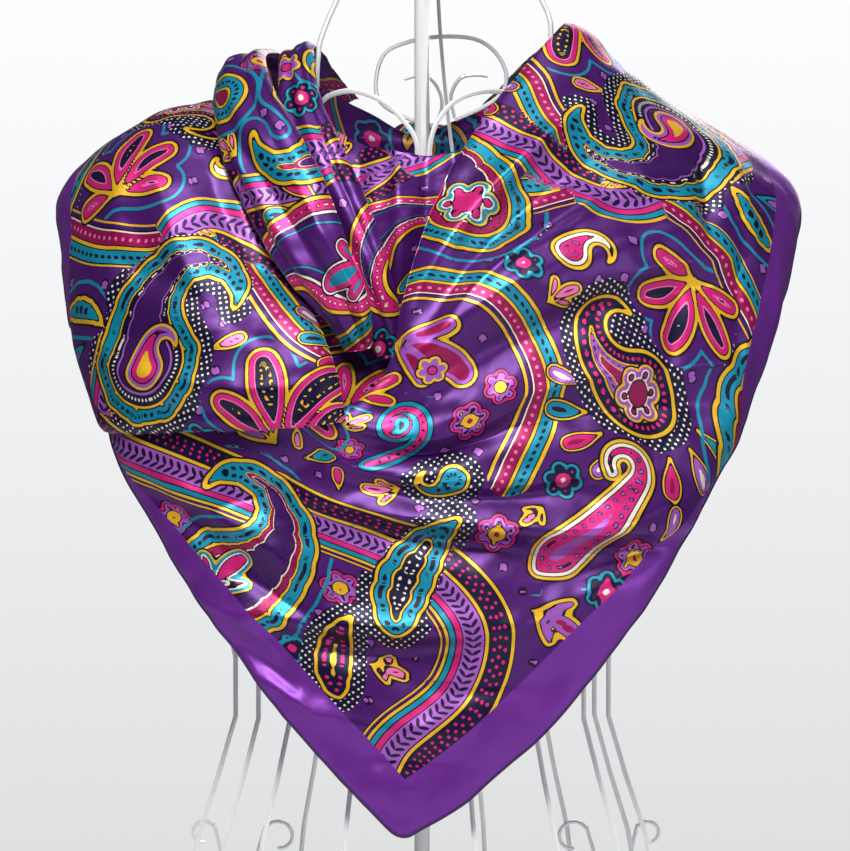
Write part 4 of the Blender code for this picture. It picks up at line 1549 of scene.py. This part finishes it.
@dataclass(frozen=True)
class SatinFinish:
    """Shiny printed satin, with a duller reverse."""

    roughness: float = 0.4
    reverse_roughness: float = 0.5
    metallic: float = 0.4
    pucker_height: float = 0.0009

    def build(self, print_group: bpy.types.NodeTree, weave: bpy.types.NodeTree) -> bpy.types.Material:
        """Make the material.

        Args:
            print_group: The group that colours the print.
            weave: The group that gives the floats and puckers.

        Returns:
            The material.
        """
        material, bench, shader = start_material("printed_satin")
        picture = bench.add("ShaderNodeGroup", node_tree=print_group)
        cloth = bench.add("ShaderNodeGroup", node_tree=weave)
        reverse = bench.value(CLOTH_REVERSE)
        faded = bench.mix(0.38, picture.outputs["Color"], Ink.PURPLE.value)
        colour = bench.mix(reverse, picture.outputs["Color"], faded)
        tone = bench.math("MULTIPLY_ADD", cloth.outputs["Tone"], 0.3, 0.86)
        shade = bench.add("ShaderNodeCombineColor")
        bench.plug_all(shade, {0: tone, 1: tone, 2: tone})
        bench.plug_all(shader, {
            "Base Color": bench.mix(1.0, colour, shade.outputs[0], "MULTIPLY"),
            "Normal": bench.bump(cloth.outputs["Height"], self.pucker_height, 0.6),
            "Roughness": bench.span(reverse, (0.0, 1.0, self.roughness, self.reverse_roughness)),
            "Specular IOR Level": 0.5,
            "Metallic": self.metallic,
            "Anisotropic": 0.45,
            "Specular Tint": (0.95, 0.84, 1.0, 1.0),
            "Sheen Weight": 0.03,
            "Sheen Roughness": 0.4})
        return material


@dataclass(frozen=True)
class HemFinish:
    """The rolled hem: violet satin under close overlock stitches."""

    stitch_pitch: float = 1.5

    def build(self, weave: bpy.types.NodeTree) -> bpy.types.Material:
        """Make the material.

        Args:
            weave: The group that gives the floats and puckers.

        Returns:
            The material.
        """
        material, bench, shader = start_material("overlocked_hem")
        along, around, _ = bench.split(bench.attribute(HEM_PLACE))
        phase = bench.math("ADD", along, bench.math("MULTIPLY", around, 0.6))
        turn = bench.math("MULTIPLY", phase, 2 * math.pi / self.stitch_pitch)
        ridge = bench.math("MULTIPLY_ADD", bench.math("SINE", turn), 0.5, 0.5)
        cloth = bench.add("ShaderNodeGroup", node_tree=weave)
        bench.plug_all(shader, {
            "Normal": bench.bump(bench.math("ADD", ridge, cloth.outputs["Tone"]), 0.0003),
            # The colour follows the same ridge that bumps the stitches: painted shade, darker in the grooves
            # between stitches and lighter on their ridges.
            "Base Color": bench.mix(ridge, srgb(34, 12, 52), srgb(72, 30, 104)),
            "Roughness": 0.55})
        return material


def paint_group() -> bpy.types.NodeTree:
    """Build the group that gives sprayed paint its orange peel and faint grime.

    Returns:
        The group.
    """
    group, entry, out = new_group(
        "sprayed_paint",
        (("Color", "NodeSocketColor", (0.9, 0.9, 0.9, 1)), ("Grime", "NodeSocketFloat", 0.2)),
        (("Color", "NodeSocketColor"), ("Roughness", "NodeSocketFloat"), ("Height", "NodeSocketFloat")))
    bench = NodeBench(group)
    where = bench.add("ShaderNodeTexCoord").outputs["Object"]
    grime = bench.noise(where, 38, 5)
    share = bench.math("MULTIPLY", bench.math("POWER", grime, 2.0), entry.outputs["Grime"])
    bench.plug_all(out, {
        "Color": bench.mix(share, entry.outputs["Color"], srgb(168, 166, 160)),
        "Roughness": bench.math("MULTIPLY_ADD", grime, 0.22, 0.12),
        "Height": bench.noise(where, 900)})
    return group


@dataclass(frozen=True)
class PaintFinish:
    """White gloss paint on wire and steel."""

    name: str
    colour: Colour
    grime: float

    def build(self, group: bpy.types.NodeTree) -> bpy.types.Material:
        """Make the material.

        Args:
            group: The group that gives the paint its peel and grime.

        Returns:
            The material.
        """
        material, bench, shader = start_material(self.name)
        paint = bench.add("ShaderNodeGroup", node_tree=group)
        bench.plug_all(paint, {"Color": self.colour, "Grime": self.grime})
        bench.plug_all(shader, {
            "Base Color": paint.outputs["Color"],
            "Roughness": paint.outputs["Roughness"],
            "Normal": bench.bump(paint.outputs["Height"], 0.0001, 0.3),
            "Coat Weight": 0.4,
            "Coat Roughness": 0.08})
        return material


# ----------------------------------------------------------------------------- cloth
@dataclass
class Shell:
    """A thin closed shell of cloth: a fine outside over an inside of half the points."""

    name: str
    outer: np.ndarray
    normals: np.ndarray
    flat: np.ndarray
    thickness: float = 0.0007

    def build(self, picture: PrintField, material: bpy.types.Material) -> bpy.types.Object:
        """Make the shell with the attributes that its print needs.

        Args:
            picture: The print of the flat square.
            material: The satin.

        Returns:
            The piece.
        """
        inner = (self.outer - self.normals * self.thickness)[::2, ::2]
        points = np.concatenate((self.outer.reshape(-1, 3), inner.reshape(-1, 3)))
        flat = np.concatenate((self.flat.reshape(-1, 2), self.flat[::2, ::2].reshape(-1, 2)))
        mesh = bpy.data.meshes.new(self.name)
        mesh.from_pydata(points.tolist(), [], self._faces())
        mesh.shade_smooth()
        picture.mark(mesh, flat)
        keep_numbers(mesh, CLOTH_REVERSE, np.arange(len(points)) >= self.outer[..., 0].size)
        mesh.materials.append(material)
        return add_object(self.name, mesh)

    def _faces(self) -> list[list[int]]:
        """List the faces of the outside, the inside and the strip round their edges.

        Returns:
            The point numbers of each face.
        """
        rows, columns = self.outer.shape[:2]
        low_rows, low_columns = (rows + 1) // 2, (columns + 1) // 2
        count = rows * columns
        top = np.arange(count).reshape(rows, columns)
        under = count + np.arange(low_rows * low_columns).reshape(low_rows, low_columns)
        row, column = rows // 2, columns // 2
        middle = self.outer[row, column]
        outward = np.cross(self.outer[row + 1, column] - middle, self.outer[row, column + 1] - middle)
        flip = np.dot(outward, self.normals[row, column]) < 0
        faces = np.concatenate((self._quads(top, flip), self._quads(under, not flip))).tolist()
        border, low = self._border(rows, columns), self._border(low_rows, low_columns)
        for k, near in enumerate(low):
            edge = [top[border[(2 * k + step) % len(border)]] for step in range(3)]
            ring = [int(number) for number in (*edge, under[low[(k + 1) % len(low)]], under[near])]
            faces.append(ring if flip else ring[::-1])
        return faces

    @staticmethod
    def _quads(index: np.ndarray, flip: bool) -> np.ndarray:
        """List a grid's faces.

        Args:
            index: The point numbers of the grid.
            flip: Whether the faces are turned over.

        Returns:
            One face in each row.
        """
        ring = (index[:-1, :-1], index[1:, :-1], index[1:, 1:], index[:-1, 1:])
        if flip:
            ring = ring[::-1]
        return np.stack([part.ravel() for part in ring], axis=1)

    @staticmethod
    def _border(rows: int, columns: int) -> list[tuple[int, int]]:
        """List the places of a grid's border, once round.

        Args:
            rows: How many rows the grid has.
            columns: How many columns it has.

        Returns:
            Row and column of each place.
        """
        line = [(0, c) for c in range(columns)] + [(r, columns - 1) for r in range(1, rows)]
        line += [(rows - 1, c) for c in range(columns - 2, -1, -1)]
        return line + [(r, 0) for r in range(rows - 2, 0, -1)]


@dataclass
class Stretch:
    """One stretch of the scarf, lofted from its sections."""

    name: str
    sections: Sequence[Section]
    rows: int
    columns: int
    creases: Sequence[Crease] = ()
    back_creases: Sequence[Crease] = ()
    corner: tuple[float, float] = (300.0, 300.0)
    row_way: tuple[float, float] = (0.0, 1.0)
    outward_from: tuple[float, float, float] = (0.0, 0.0, 0.55)
    wrinkle: float = 1.1
    seed: int = 3
    outer: np.ndarray = field(init=False, repr=False)
    normals: np.ndarray = field(init=False, repr=False)
    laid: np.ndarray = field(init=False, repr=False)

    def shape(self) -> None:
        """Work out the outside, its normals and its flat places."""
        grid = section_grid(self.sections, self.rows, self.columns)
        normals = grid_normals(grid, self.outward_from)
        grid = crease_relief(grid, normals, self.creases, -1.0)
        self.outer = crease_relief(grid, normals, self.back_creases, 1.0)
        self.finish_shape(self.outward_from)

    def finish_shape(self, outward_from: Sequence[float]) -> None:
        """Lay the outside flat, then give it its small wrinkles.

        Args:
            outward_from: The point that the normals look away from.
        """
        self.laid = self.flat()
        normals = grid_normals(self.outer, outward_from)
        height = soft_wrinkles(self.laid, self.seed, self.wrinkle)
        self.outer = self.outer + normals * (height * MM)[..., None]
        self.normals = grid_normals(self.outer, outward_from)

    def flat(self) -> np.ndarray:
        """Return where each point lies on the flat square, by its distances on the cloth."""
        return lay_by_lengths(self.outer, self.corner, self.row_way)

    def build(self, picture: PrintField, satin: bpy.types.Material) -> bpy.types.Object:
        """Make the stretch's piece."""
        self.shape()
        return Shell(self.name, self.outer, self.normals, self.laid).build(picture, satin)


def lay_by_lengths(grid: np.ndarray, corner: Sequence[float], row_way: Sequence[float]) -> np.ndarray:
    """Lay a grid flat by its lengths along the last column and along each row.

    Args:
        grid: Rows and columns of world points.
        corner: The flat place of the first row's last point.
        row_way: The direction on the square in which the rows follow each other.

    Returns:
        Flat places in millimetres.
    """
    down = arc_length(grid[:, -1]) / MM
    across = arc_length(grid.swapaxes(0, 1)).T / MM
    across = across[:, -1:] - across
    way = np.array(row_way, dtype=float)
    side = np.array((way[1], -way[0]))
    return np.array(corner) + down[:, None, None] * way + across[..., None] * side


@dataclass
class FrontStretch(Stretch):
    """The large front triangle with the cowl, flattened with its hems on the square's edges."""

    coarse: tuple[int, int] = (41, 21)
    mirror: bool = False
    left_hem_row: float = 7.0
    right_hem_row: float = 17.0

    def flat(self) -> np.ndarray:
        """Flatten a coarse grid and read it smoothly at every point.

        Returns:
            The flat places.
        """
        rows, columns = self.coarse
        coarse = section_grid(self.sections, rows, columns)
        flat = Flattening(coarse, self.pins(coarse), self.mirror).solve()
        fine = through(flat, self.rows)
        return through(fine.swapaxes(0, 1), self.columns).swapaxes(0, 1)

    def pins(self, coarse: np.ndarray) -> dict[int, tuple[float, float]]:
        """Return the flat places of the points along both hems.

        Args:
            coarse: The coarse grid.

        Returns:
            The flat place of each held point, by its number.
        """
        rows, columns = coarse.shape[:2]
        left = arc_length(coarse[:, 0]) / MM
        right = arc_length(coarse[:, -1]) / MM
        width = np.linalg.norm(coarse[0, 0] - coarse[0, -1]) / MM
        start = width / math.sqrt(2)
        pins: dict[int, tuple[float, float]] = {}
        for row in range(rows):
            place = row / (rows - 1) * (len(self.sections) - 1)
            if place <= self.left_hem_row:
                pins[row * columns] = (float(np.interp(place, *LEFT_TURN)), start + left[row])
            if place <= self.right_hem_row:
                inward = float(np.interp(place, *RIGHT_TURN))
                pins[(row + 1) * columns - 1] = (start + right[row], inward)
        return pins


@dataclass
class LeftDrape(FrontStretch):
    """The stretch that hangs over the left shoulder and ends in a soft fold below."""

    coarse: tuple[int, int] = (33, 21)
    mirror: bool = True
    left_hem_row: float = 5.5
    lower_corner: tuple[float, float] = (208.0, 263.0)
    hem_start: float = 346.0

    def pins(self, coarse: np.ndarray) -> dict[int, tuple[float, float]]:
        """Return the flat places of the outer edge and of the lower right corner.

        Args:
            coarse: The coarse grid.

        Returns:
            The flat place of each held point, by its number.
        """
        rows, columns = coarse.shape[:2]
        outer = arc_length(coarse[:, -1]) / MM
        pins: dict[int, tuple[float, float]] = {0: self.lower_corner}
        for row in range(rows):
            place = row / (rows - 1) * (len(self.sections) - 1)
            if place <= self.left_hem_row:
                inward = float(np.interp(place, *DRAPE_TURN))
                pins[(row + 1) * columns - 1] = (inward, self.hem_start + outer[row])
        return pins

    def shape(self) -> None:
        """Work out the outside, then turn its lower edge under in a round fold."""
        super().shape()
        share = np.linspace(0, 1, self.columns)
        depth = np.interp(share, (0, 0.12, 0.4, 0.8, 1), (1.2, 4.5, 9.0, 7.0, 6.0))[None, :] * MM
        down = arc_length(self.outer)
        turn = (1 - down / (1.6 * depth)).clip(0, 1)
        inward = depth * (1 - np.sqrt(1 - turn ** 2))
        self.outer = self.outer - self.normals * inward[..., None]
        self.normals = grid_normals(self.outer, self.outward_from)


@dataclass
class RolledFold(Stretch):
    """A rolled fold at the left of the neckline."""

    stations: Sequence[Station] = ()
    pleats: Sequence[Pleat] = ()
    deep: Sequence[Sequence[float]] = ((0, 1), (0, 0))

    def shape(self) -> None:
        """Work out the roll's outside, with its pleats, and its normals."""
        wall = round(self.columns * WALL_SHARE) if max(self.deep[1]) > 0 else 0
        grid = roll_grid(self.stations, self.rows, self.columns, wall, self.deep)
        normals = grid_normals(grid, tuple(world(np.array(ROLL_CENTRE))))
        along = np.linspace(0, 1, self.rows)[:, None]
        across = ((np.arange(self.columns) - wall) / (self.columns - 1 - wall)).clip(0)[None, :]
        relief = np.zeros((self.rows, self.columns))
        for pleat in self.pleats:
            share = ((along - pleat.along0) / (pleat.along1 - pleat.along0)).clip(0, 1)
            middle = pleat.across0 + (pleat.across1 - pleat.across0) * share
            ends = np.sin(math.pi * share) ** 0.6
            relief = relief + pleat.height * ends * np.exp(-np.abs((across - middle) / pleat.width) ** 1.6)
        edge = np.minimum(across, 1 - across).clip(0, 0.08) / 0.08
        self.outer = grid + normals * (relief * edge * MM)[..., None]
        self.finish_shape(tuple(world(np.array(ROLL_CENTRE))))


@dataclass
class Knot:
    """The knot at the nape: two turns of cloth wound over each other."""

    rings: int = 60
    sides: int = 96

    def build(self, picture: PrintField, satin: bpy.types.Material) -> bpy.types.Object:
        """Make the knot, with soft wraps that wind round it.

        Args:
            picture: The print of the flat square.
            satin: The material.

        Returns:
            The piece.
        """
        centre = world(np.array(KNOT_CENTRE))
        half = np.array((KNOT_HALF[0], KNOT_HALF[2], KNOT_HALF[1])) * MM
        tilt = np.linspace(-math.pi / 2, math.pi / 2, self.rings)[:, None]
        angle = np.linspace(0, 2 * math.pi, self.sides, endpoint=False)[None, :]
        around = (np.sin(tilt) + 0 * angle, np.cos(tilt) * np.cos(angle), np.cos(tilt) * np.sin(angle))
        ball = np.stack(around, -1)
        wraps = 0.5 + 0.5 * np.cos(5.5 * (ball[..., 0] + 0.35 * ball[..., 2]) + 0.8 * np.sin(angle))
        points = centre + ball * half * (0.9 + 0.1 * wraps * np.cos(tilt))[..., None]
        mesh = bpy.data.meshes.new("nape_knot")
        mesh.from_pydata(points.reshape(-1, 3).tolist(), [], tube_faces(1, self.rings - 2, self.sides))
        flat = np.stack((600 + 60 * ball[..., 0], 560 + 60 * angle / math.pi + 0 * tilt), -1)
        picture.mark(mesh, flat.reshape(-1, 2))
        mesh.shade_smooth()
        mesh.materials.append(satin)
        knot = add_object("nape_knot", mesh)
        self._drop_loose(mesh)
        return knot

    @staticmethod
    def _drop_loose(mesh: bpy.types.Mesh) -> None:
        """Remove the points that no face uses.

        Args:
            mesh: The mesh, which is changed.
        """
        work = bmesh.new()
        work.from_mesh(mesh)
        bmesh.ops.delete(work, geom=[v for v in work.verts if not v.link_faces], context="VERTS")
        bmesh.ops.recalc_face_normals(work, faces=work.faces)
        work.to_mesh(mesh)
        work.free()


@dataclass
class RolledHem:
    """The narrow rolled hem along an edge of the cloth."""

    name: str
    path: np.ndarray
    radius: float = 1.0 * MM
    sides: int = 8
    step: float = 1.6 * MM

    def build(self, material: bpy.types.Material) -> bpy.types.Object:
        """Make the hem as a slim tube with round ends.

        Args:
            material: The hem's material.

        Returns:
            The piece.
        """
        far = arc_length(self.path)
        count = max(4, int(far[-1] / self.step))
        at = np.linspace(0, far[-1], count)
        path = np.stack([np.interp(at, far, self.path[:, k]) for k in range(3)], axis=1)
        for _ in range(2):
            path[1:-1] = (path[:-2] + 2 * path[1:-1] + path[2:]) / 4
        tangent = unit(np.gradient(path, axis=0))
        guide = np.array((0.0, 1.0, 0.0))
        points, place = [], []
        for number, (point, way) in enumerate(zip(path, tangent)):
            first = unit(guide - way * np.dot(guide, way))
            guide = first
            second = np.cross(way, first)
            radius = self.radius * min(1.0, 0.35 + 0.4 * min(number, count - 1 - number))
            for k in range(self.sides):
                angle = 2 * math.pi * k / self.sides
                points.append(point + radius * (first * math.cos(angle) + second * math.sin(angle)))
                place.append((at[number] / MM, min(k, self.sides - k) * 1.0, 0))
        mesh = bpy.data.meshes.new(self.name)
        mesh.from_pydata([tuple(point) for point in points], [], tube_faces(0, count - 1, self.sides))
        keep_vectors(mesh, HEM_PLACE, np.array(place))
        keep_vectors(mesh, CLOTH_PLACE, np.array(place))
        mesh.shade_smooth()
        mesh.materials.append(material)
        return add_object(self.name, mesh)


@dataclass
class Scarf:
    """The whole scarf: its stretches, its knot, its tails and its hems."""

    satin: bpy.types.Material
    hem: bpy.types.Material
    picture: PrintField

    # Where the measured area is less, as for the nape's diagonal strip, this share of the
    # rectangle is stated instead, so the stated area is then more than the cloth has.
    LEAST_STATED_SHARE = 0.31

    def dress(self, piece: bpy.types.Object, nodes: Sequence[str] = ()) -> bpy.types.Object:
        """Put a piece on the body, in place of its solids.

        Args:
            piece: The piece.
            nodes: The solids that it replaces.

        Returns:
            The piece.
        """
        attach(piece, "root")
        if nodes:
            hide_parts(*nodes)
        LOG.info("made %s", piece.name)
        return piece

    def declare(self, piece: bpy.types.Object, flat: np.ndarray) -> None:
        """State the flat cut of a stretch from its own flat places.

        Args:
            piece: The stretch.
            flat: Its flat places, in millimetres.
        """
        low, high = flat.reshape(-1, 2).min(axis=0), flat.reshape(-1, 2).max(axis=0)
        size = (high - low) * MM
        a, b, c, d = flat[:-1, :-1], flat[1:, :-1], flat[1:, 1:], flat[:-1, 1:]
        first, second = c - a, d - b
        cross = first[..., 0] * second[..., 1] - first[..., 1] * second[..., 0]
        measured = float(np.abs(cross).sum() / 2) * MM * MM
        area = min(max(measured, self.LEAST_STATED_SHARE * size[0] * size[1]), size[0] * size[1])
        LOG.info("%s flat %.3f x %.3f m, area %.5f measured and %.5f stated",
                 piece.name, size[0], size[1], measured, area)

    def build(self) -> None:
        """Make every piece of the scarf, from the front round to the tails."""
        front = FrontStretch("front_cloth", FRONT_SECTIONS, 301, 221, FRONT_CREASES, FRONT_BACK_CREASES)
        front_piece = self.dress(front.build(self.picture, self.satin), ["front_panel"])
        last = len(FRONT_SECTIONS) - 1
        left_row = int(front.left_hem_row / last * (front.rows - 1))
        right_row = int(front.right_hem_row / last * (front.rows - 1))
        path = np.concatenate((front.outer[left_row:0:-1, 0], front.outer[0, 1:-1],
                               front.outer[:right_row, -1]))
        front_hem = self.dress(RolledHem("front_hem", path).build(self.hem))
        self.declare(front_piece, front.laid)

        drape = LeftDrape("left_cloth", DRAPE_SECTIONS, 181, 141, DRAPE_CREASES, DRAPE_BACK_CREASES)
        drape_piece = self.dress(drape.build(self.picture, self.satin), ["left_drape"])
        drape_hem = self.dress(RolledHem("left_hem", drape.outer[30:, -1]).build(self.hem))
        self.declare(drape_piece, drape.laid)

        slant = 0.7071
        for sheet, node, below in (
                (Stretch("cowl_cloth", COWL_SECTIONS, 101, 91, COWL_CREASES, (), (420.0, 380.0),
                         (-slant, -slant)), "inner_cowl", "inner_roll_cloth"),
                (Stretch("nape_cloth", BAND_SECTIONS, 97, 41, (), BAND_CREASES, (520.0, 470.0),
                         (slant, -slant)), "neck_band", "oval"),
                (RolledFold("outer_roll_cloth", (), 181, 75, stations=OUTER_STATIONS,
                            pleats=OUTER_PLEATS, deep=OUTER_WALL, corner=(262.0, 300.0)),
                 "outer_roll", "left_cloth"),
                (RolledFold("inner_roll_cloth", (), 181, 51, stations=INNER_STATIONS,
                            pleats=INNER_PLEATS, corner=(330.0, 300.0)), "inner_roll", "neck_left")):
            piece = self.dress(sheet.build(self.picture, self.satin), [node])
            self.declare(piece, sheet.laid)
        self.dress(Knot().build(self.picture, self.satin), ["knot"])
        for name, sections, creases, corner, way in (
                ("tail_left_cloth", TAIL_LEFT_SECTIONS, LEFT_TAIL_CREASES, (40.0, 740.0), (0.0, 1.0)),
                ("tail_right_cloth", TAIL_RIGHT_SECTIONS, RIGHT_TAIL_CREASES, (740.0, 60.0), (1.0, 0.0))):
            tail = Stretch(name, sections, 81, 41, (), creases, corner, way)
            piece = self.dress(tail.build(self.picture, self.satin), [name.replace("_cloth", "")])
            edge = np.concatenate((tail.outer[:, 0], tail.outer[-1, 1:-1], tail.outer[::-1, -1]))
            hem = self.dress(RolledHem(name.replace("cloth", "hem"), edge).build(self.hem))
            self.declare(piece, tail.laid)


@dataclass
class WireForm:
    """The wire dress form: its solids keep their shape and get their paint."""

    wire: bpy.types.Material
    steel: bpy.types.Material
    steel_nodes: tuple[str, ...] = ("base", "collar", "pole_lower", "pole_upper", "hub", "neck_cap")

    def build(self) -> None:
        """Paint every solid of the form."""
        slots = frame["record"]["subparts"]
        for name in [slot["node"] for slot in slots if slot["material_slot"] == "white_paint"]:
            piece = bpy.data.objects[name]
            piece.data.materials.clear()
            piece.data.materials.append(self.steel if name in self.steel_nodes else self.wire)
            LOG.info("painted %s", name)


# ---------------------------------------------------------------------------- studio
@dataclass
class Studio:
    """A pale floor, a pale surround, soft lights and the camera."""

    distance: float = 4.2
    aim: tuple[float, float, float] = (0.00195, -0.06, 0.5066)
    scarf_middle: tuple[float, float, float] = (0.0, -0.05, 0.52)
    frame_height: float = 851 * 0.65 * MM
    ambient: float = 0.07

    def build(self) -> None:
        """Make the surround, the floor, the lights and the camera."""
        self._world()
        self._floor()
        self._light("key_light", (-0.25, -1.6, 2.0), 0.6, 46, (1.0, 0.985, 0.97))
        self._light("fill_light", (1.6, -1.6, 0.6), 0.7, 9, (0.97, 0.98, 1.0))
        self._light("top_light", (0.3, -0.5, 2.7), 0.7, 7, (1.0, 1.0, 1.0))
        self._light("back_light", (0.6, 1.9, 1.4), 1.2, 24, (1.0, 1.0, 1.0))
        self._camera()
        bpy.context.scene.view_settings.view_transform = "Standard"

    def _world(self) -> None:
        """Set the pale surround."""
        surround = bpy.data.worlds.new("pale_surround")
        bpy.context.scene.world = surround
        surround.use_nodes = True
        bench = NodeBench(surround.node_tree)
        seen = bench.add("ShaderNodeLightPath").outputs["Is Camera Ray"]
        height = bench.split(bench.add("ShaderNodeTexCoord").outputs["Generated"])[2]
        below, above = 0.84 - self.ambient, 1.14 - self.ambient
        rise = bench.span(height, (-0.07, 0.07, below, above))
        bench.plug_all(surround.node_tree.nodes["Background"], {
            0: srgb(240, 241, 242), 1: bench.math("MULTIPLY_ADD", seen, rise, self.ambient)})

    def _floor(self) -> None:
        """Lay the pale floor."""
        mesh = bpy.data.meshes.new("studio_floor")
        reach = 1.6
        corners = [(-reach, -reach, 0), (reach, -reach, 0), (reach, reach, 0), (-reach, reach, 0)]
        mesh.from_pydata(corners, [], [(0, 1, 2, 3)])
        floor = add_object("studio_floor", mesh)
        material, bench, shader = start_material("pale_floor")
        grain = bench.noise(None, 6)
        bench.plug_all(shader, {"Base Color": bench.mix(grain, srgb(228, 230, 232), srgb(238, 239, 240)),
                                "Roughness": 0.6})
        floor.data.materials.append(material)

    def _light(self, name: str, place: Sequence[float], size: float, power: float,
               tint: Sequence[float]) -> None:
        """Hang one soft light that looks at the scarf.

        Args:
            name: Its name.
            place: Where it hangs.
            size: Its side.
            power: Its power in watts.
            tint: Its colour.
        """
        data = bpy.data.lights.new(name, "AREA")
        data.energy, data.size, data.color = power, size, tint
        lamp = add_object(name, data)
        lamp.location = place
        away = Vector(self.scarf_middle) - lamp.location
        lamp.rotation_euler = away.to_track_quat("-Z", "Y").to_euler()

    def _camera(self) -> None:
        """Set the camera level in front, with a long lens."""
        data = bpy.data.cameras.new("front_camera")
        data.sensor_fit = "VERTICAL"
        data.sensor_height = 24.0
        data.lens = data.sensor_height * self.distance / self.frame_height
        camera = add_object("front_camera", data)
        x, y, z = self.aim
        camera.location = (x, y - self.distance, z)
        camera.rotation_euler = (math.pi / 2, 0, 0)
        bpy.context.scene.camera = camera


def main() -> None:
    """Build the studio, the form and the scarf."""
    logging.basicConfig(level=logging.INFO, format="%(message)s")
    Studio().build()
    paint = paint_group()
    WireForm(PaintFinish("gloss_white_wire", srgb(238, 240, 242), 0.25).build(paint),
             PaintFinish("gloss_white_steel", srgb(240, 241, 242), 0.4).build(paint)).build()
    weave = weave_group()
    picture = PrintField(paisley_motifs(), RIBBONS)
    Scarf(SatinFinish().build(PrintInks().build(), weave), HemFinish().build(weave), picture).build()


if __name__ == "__main__":
    main()
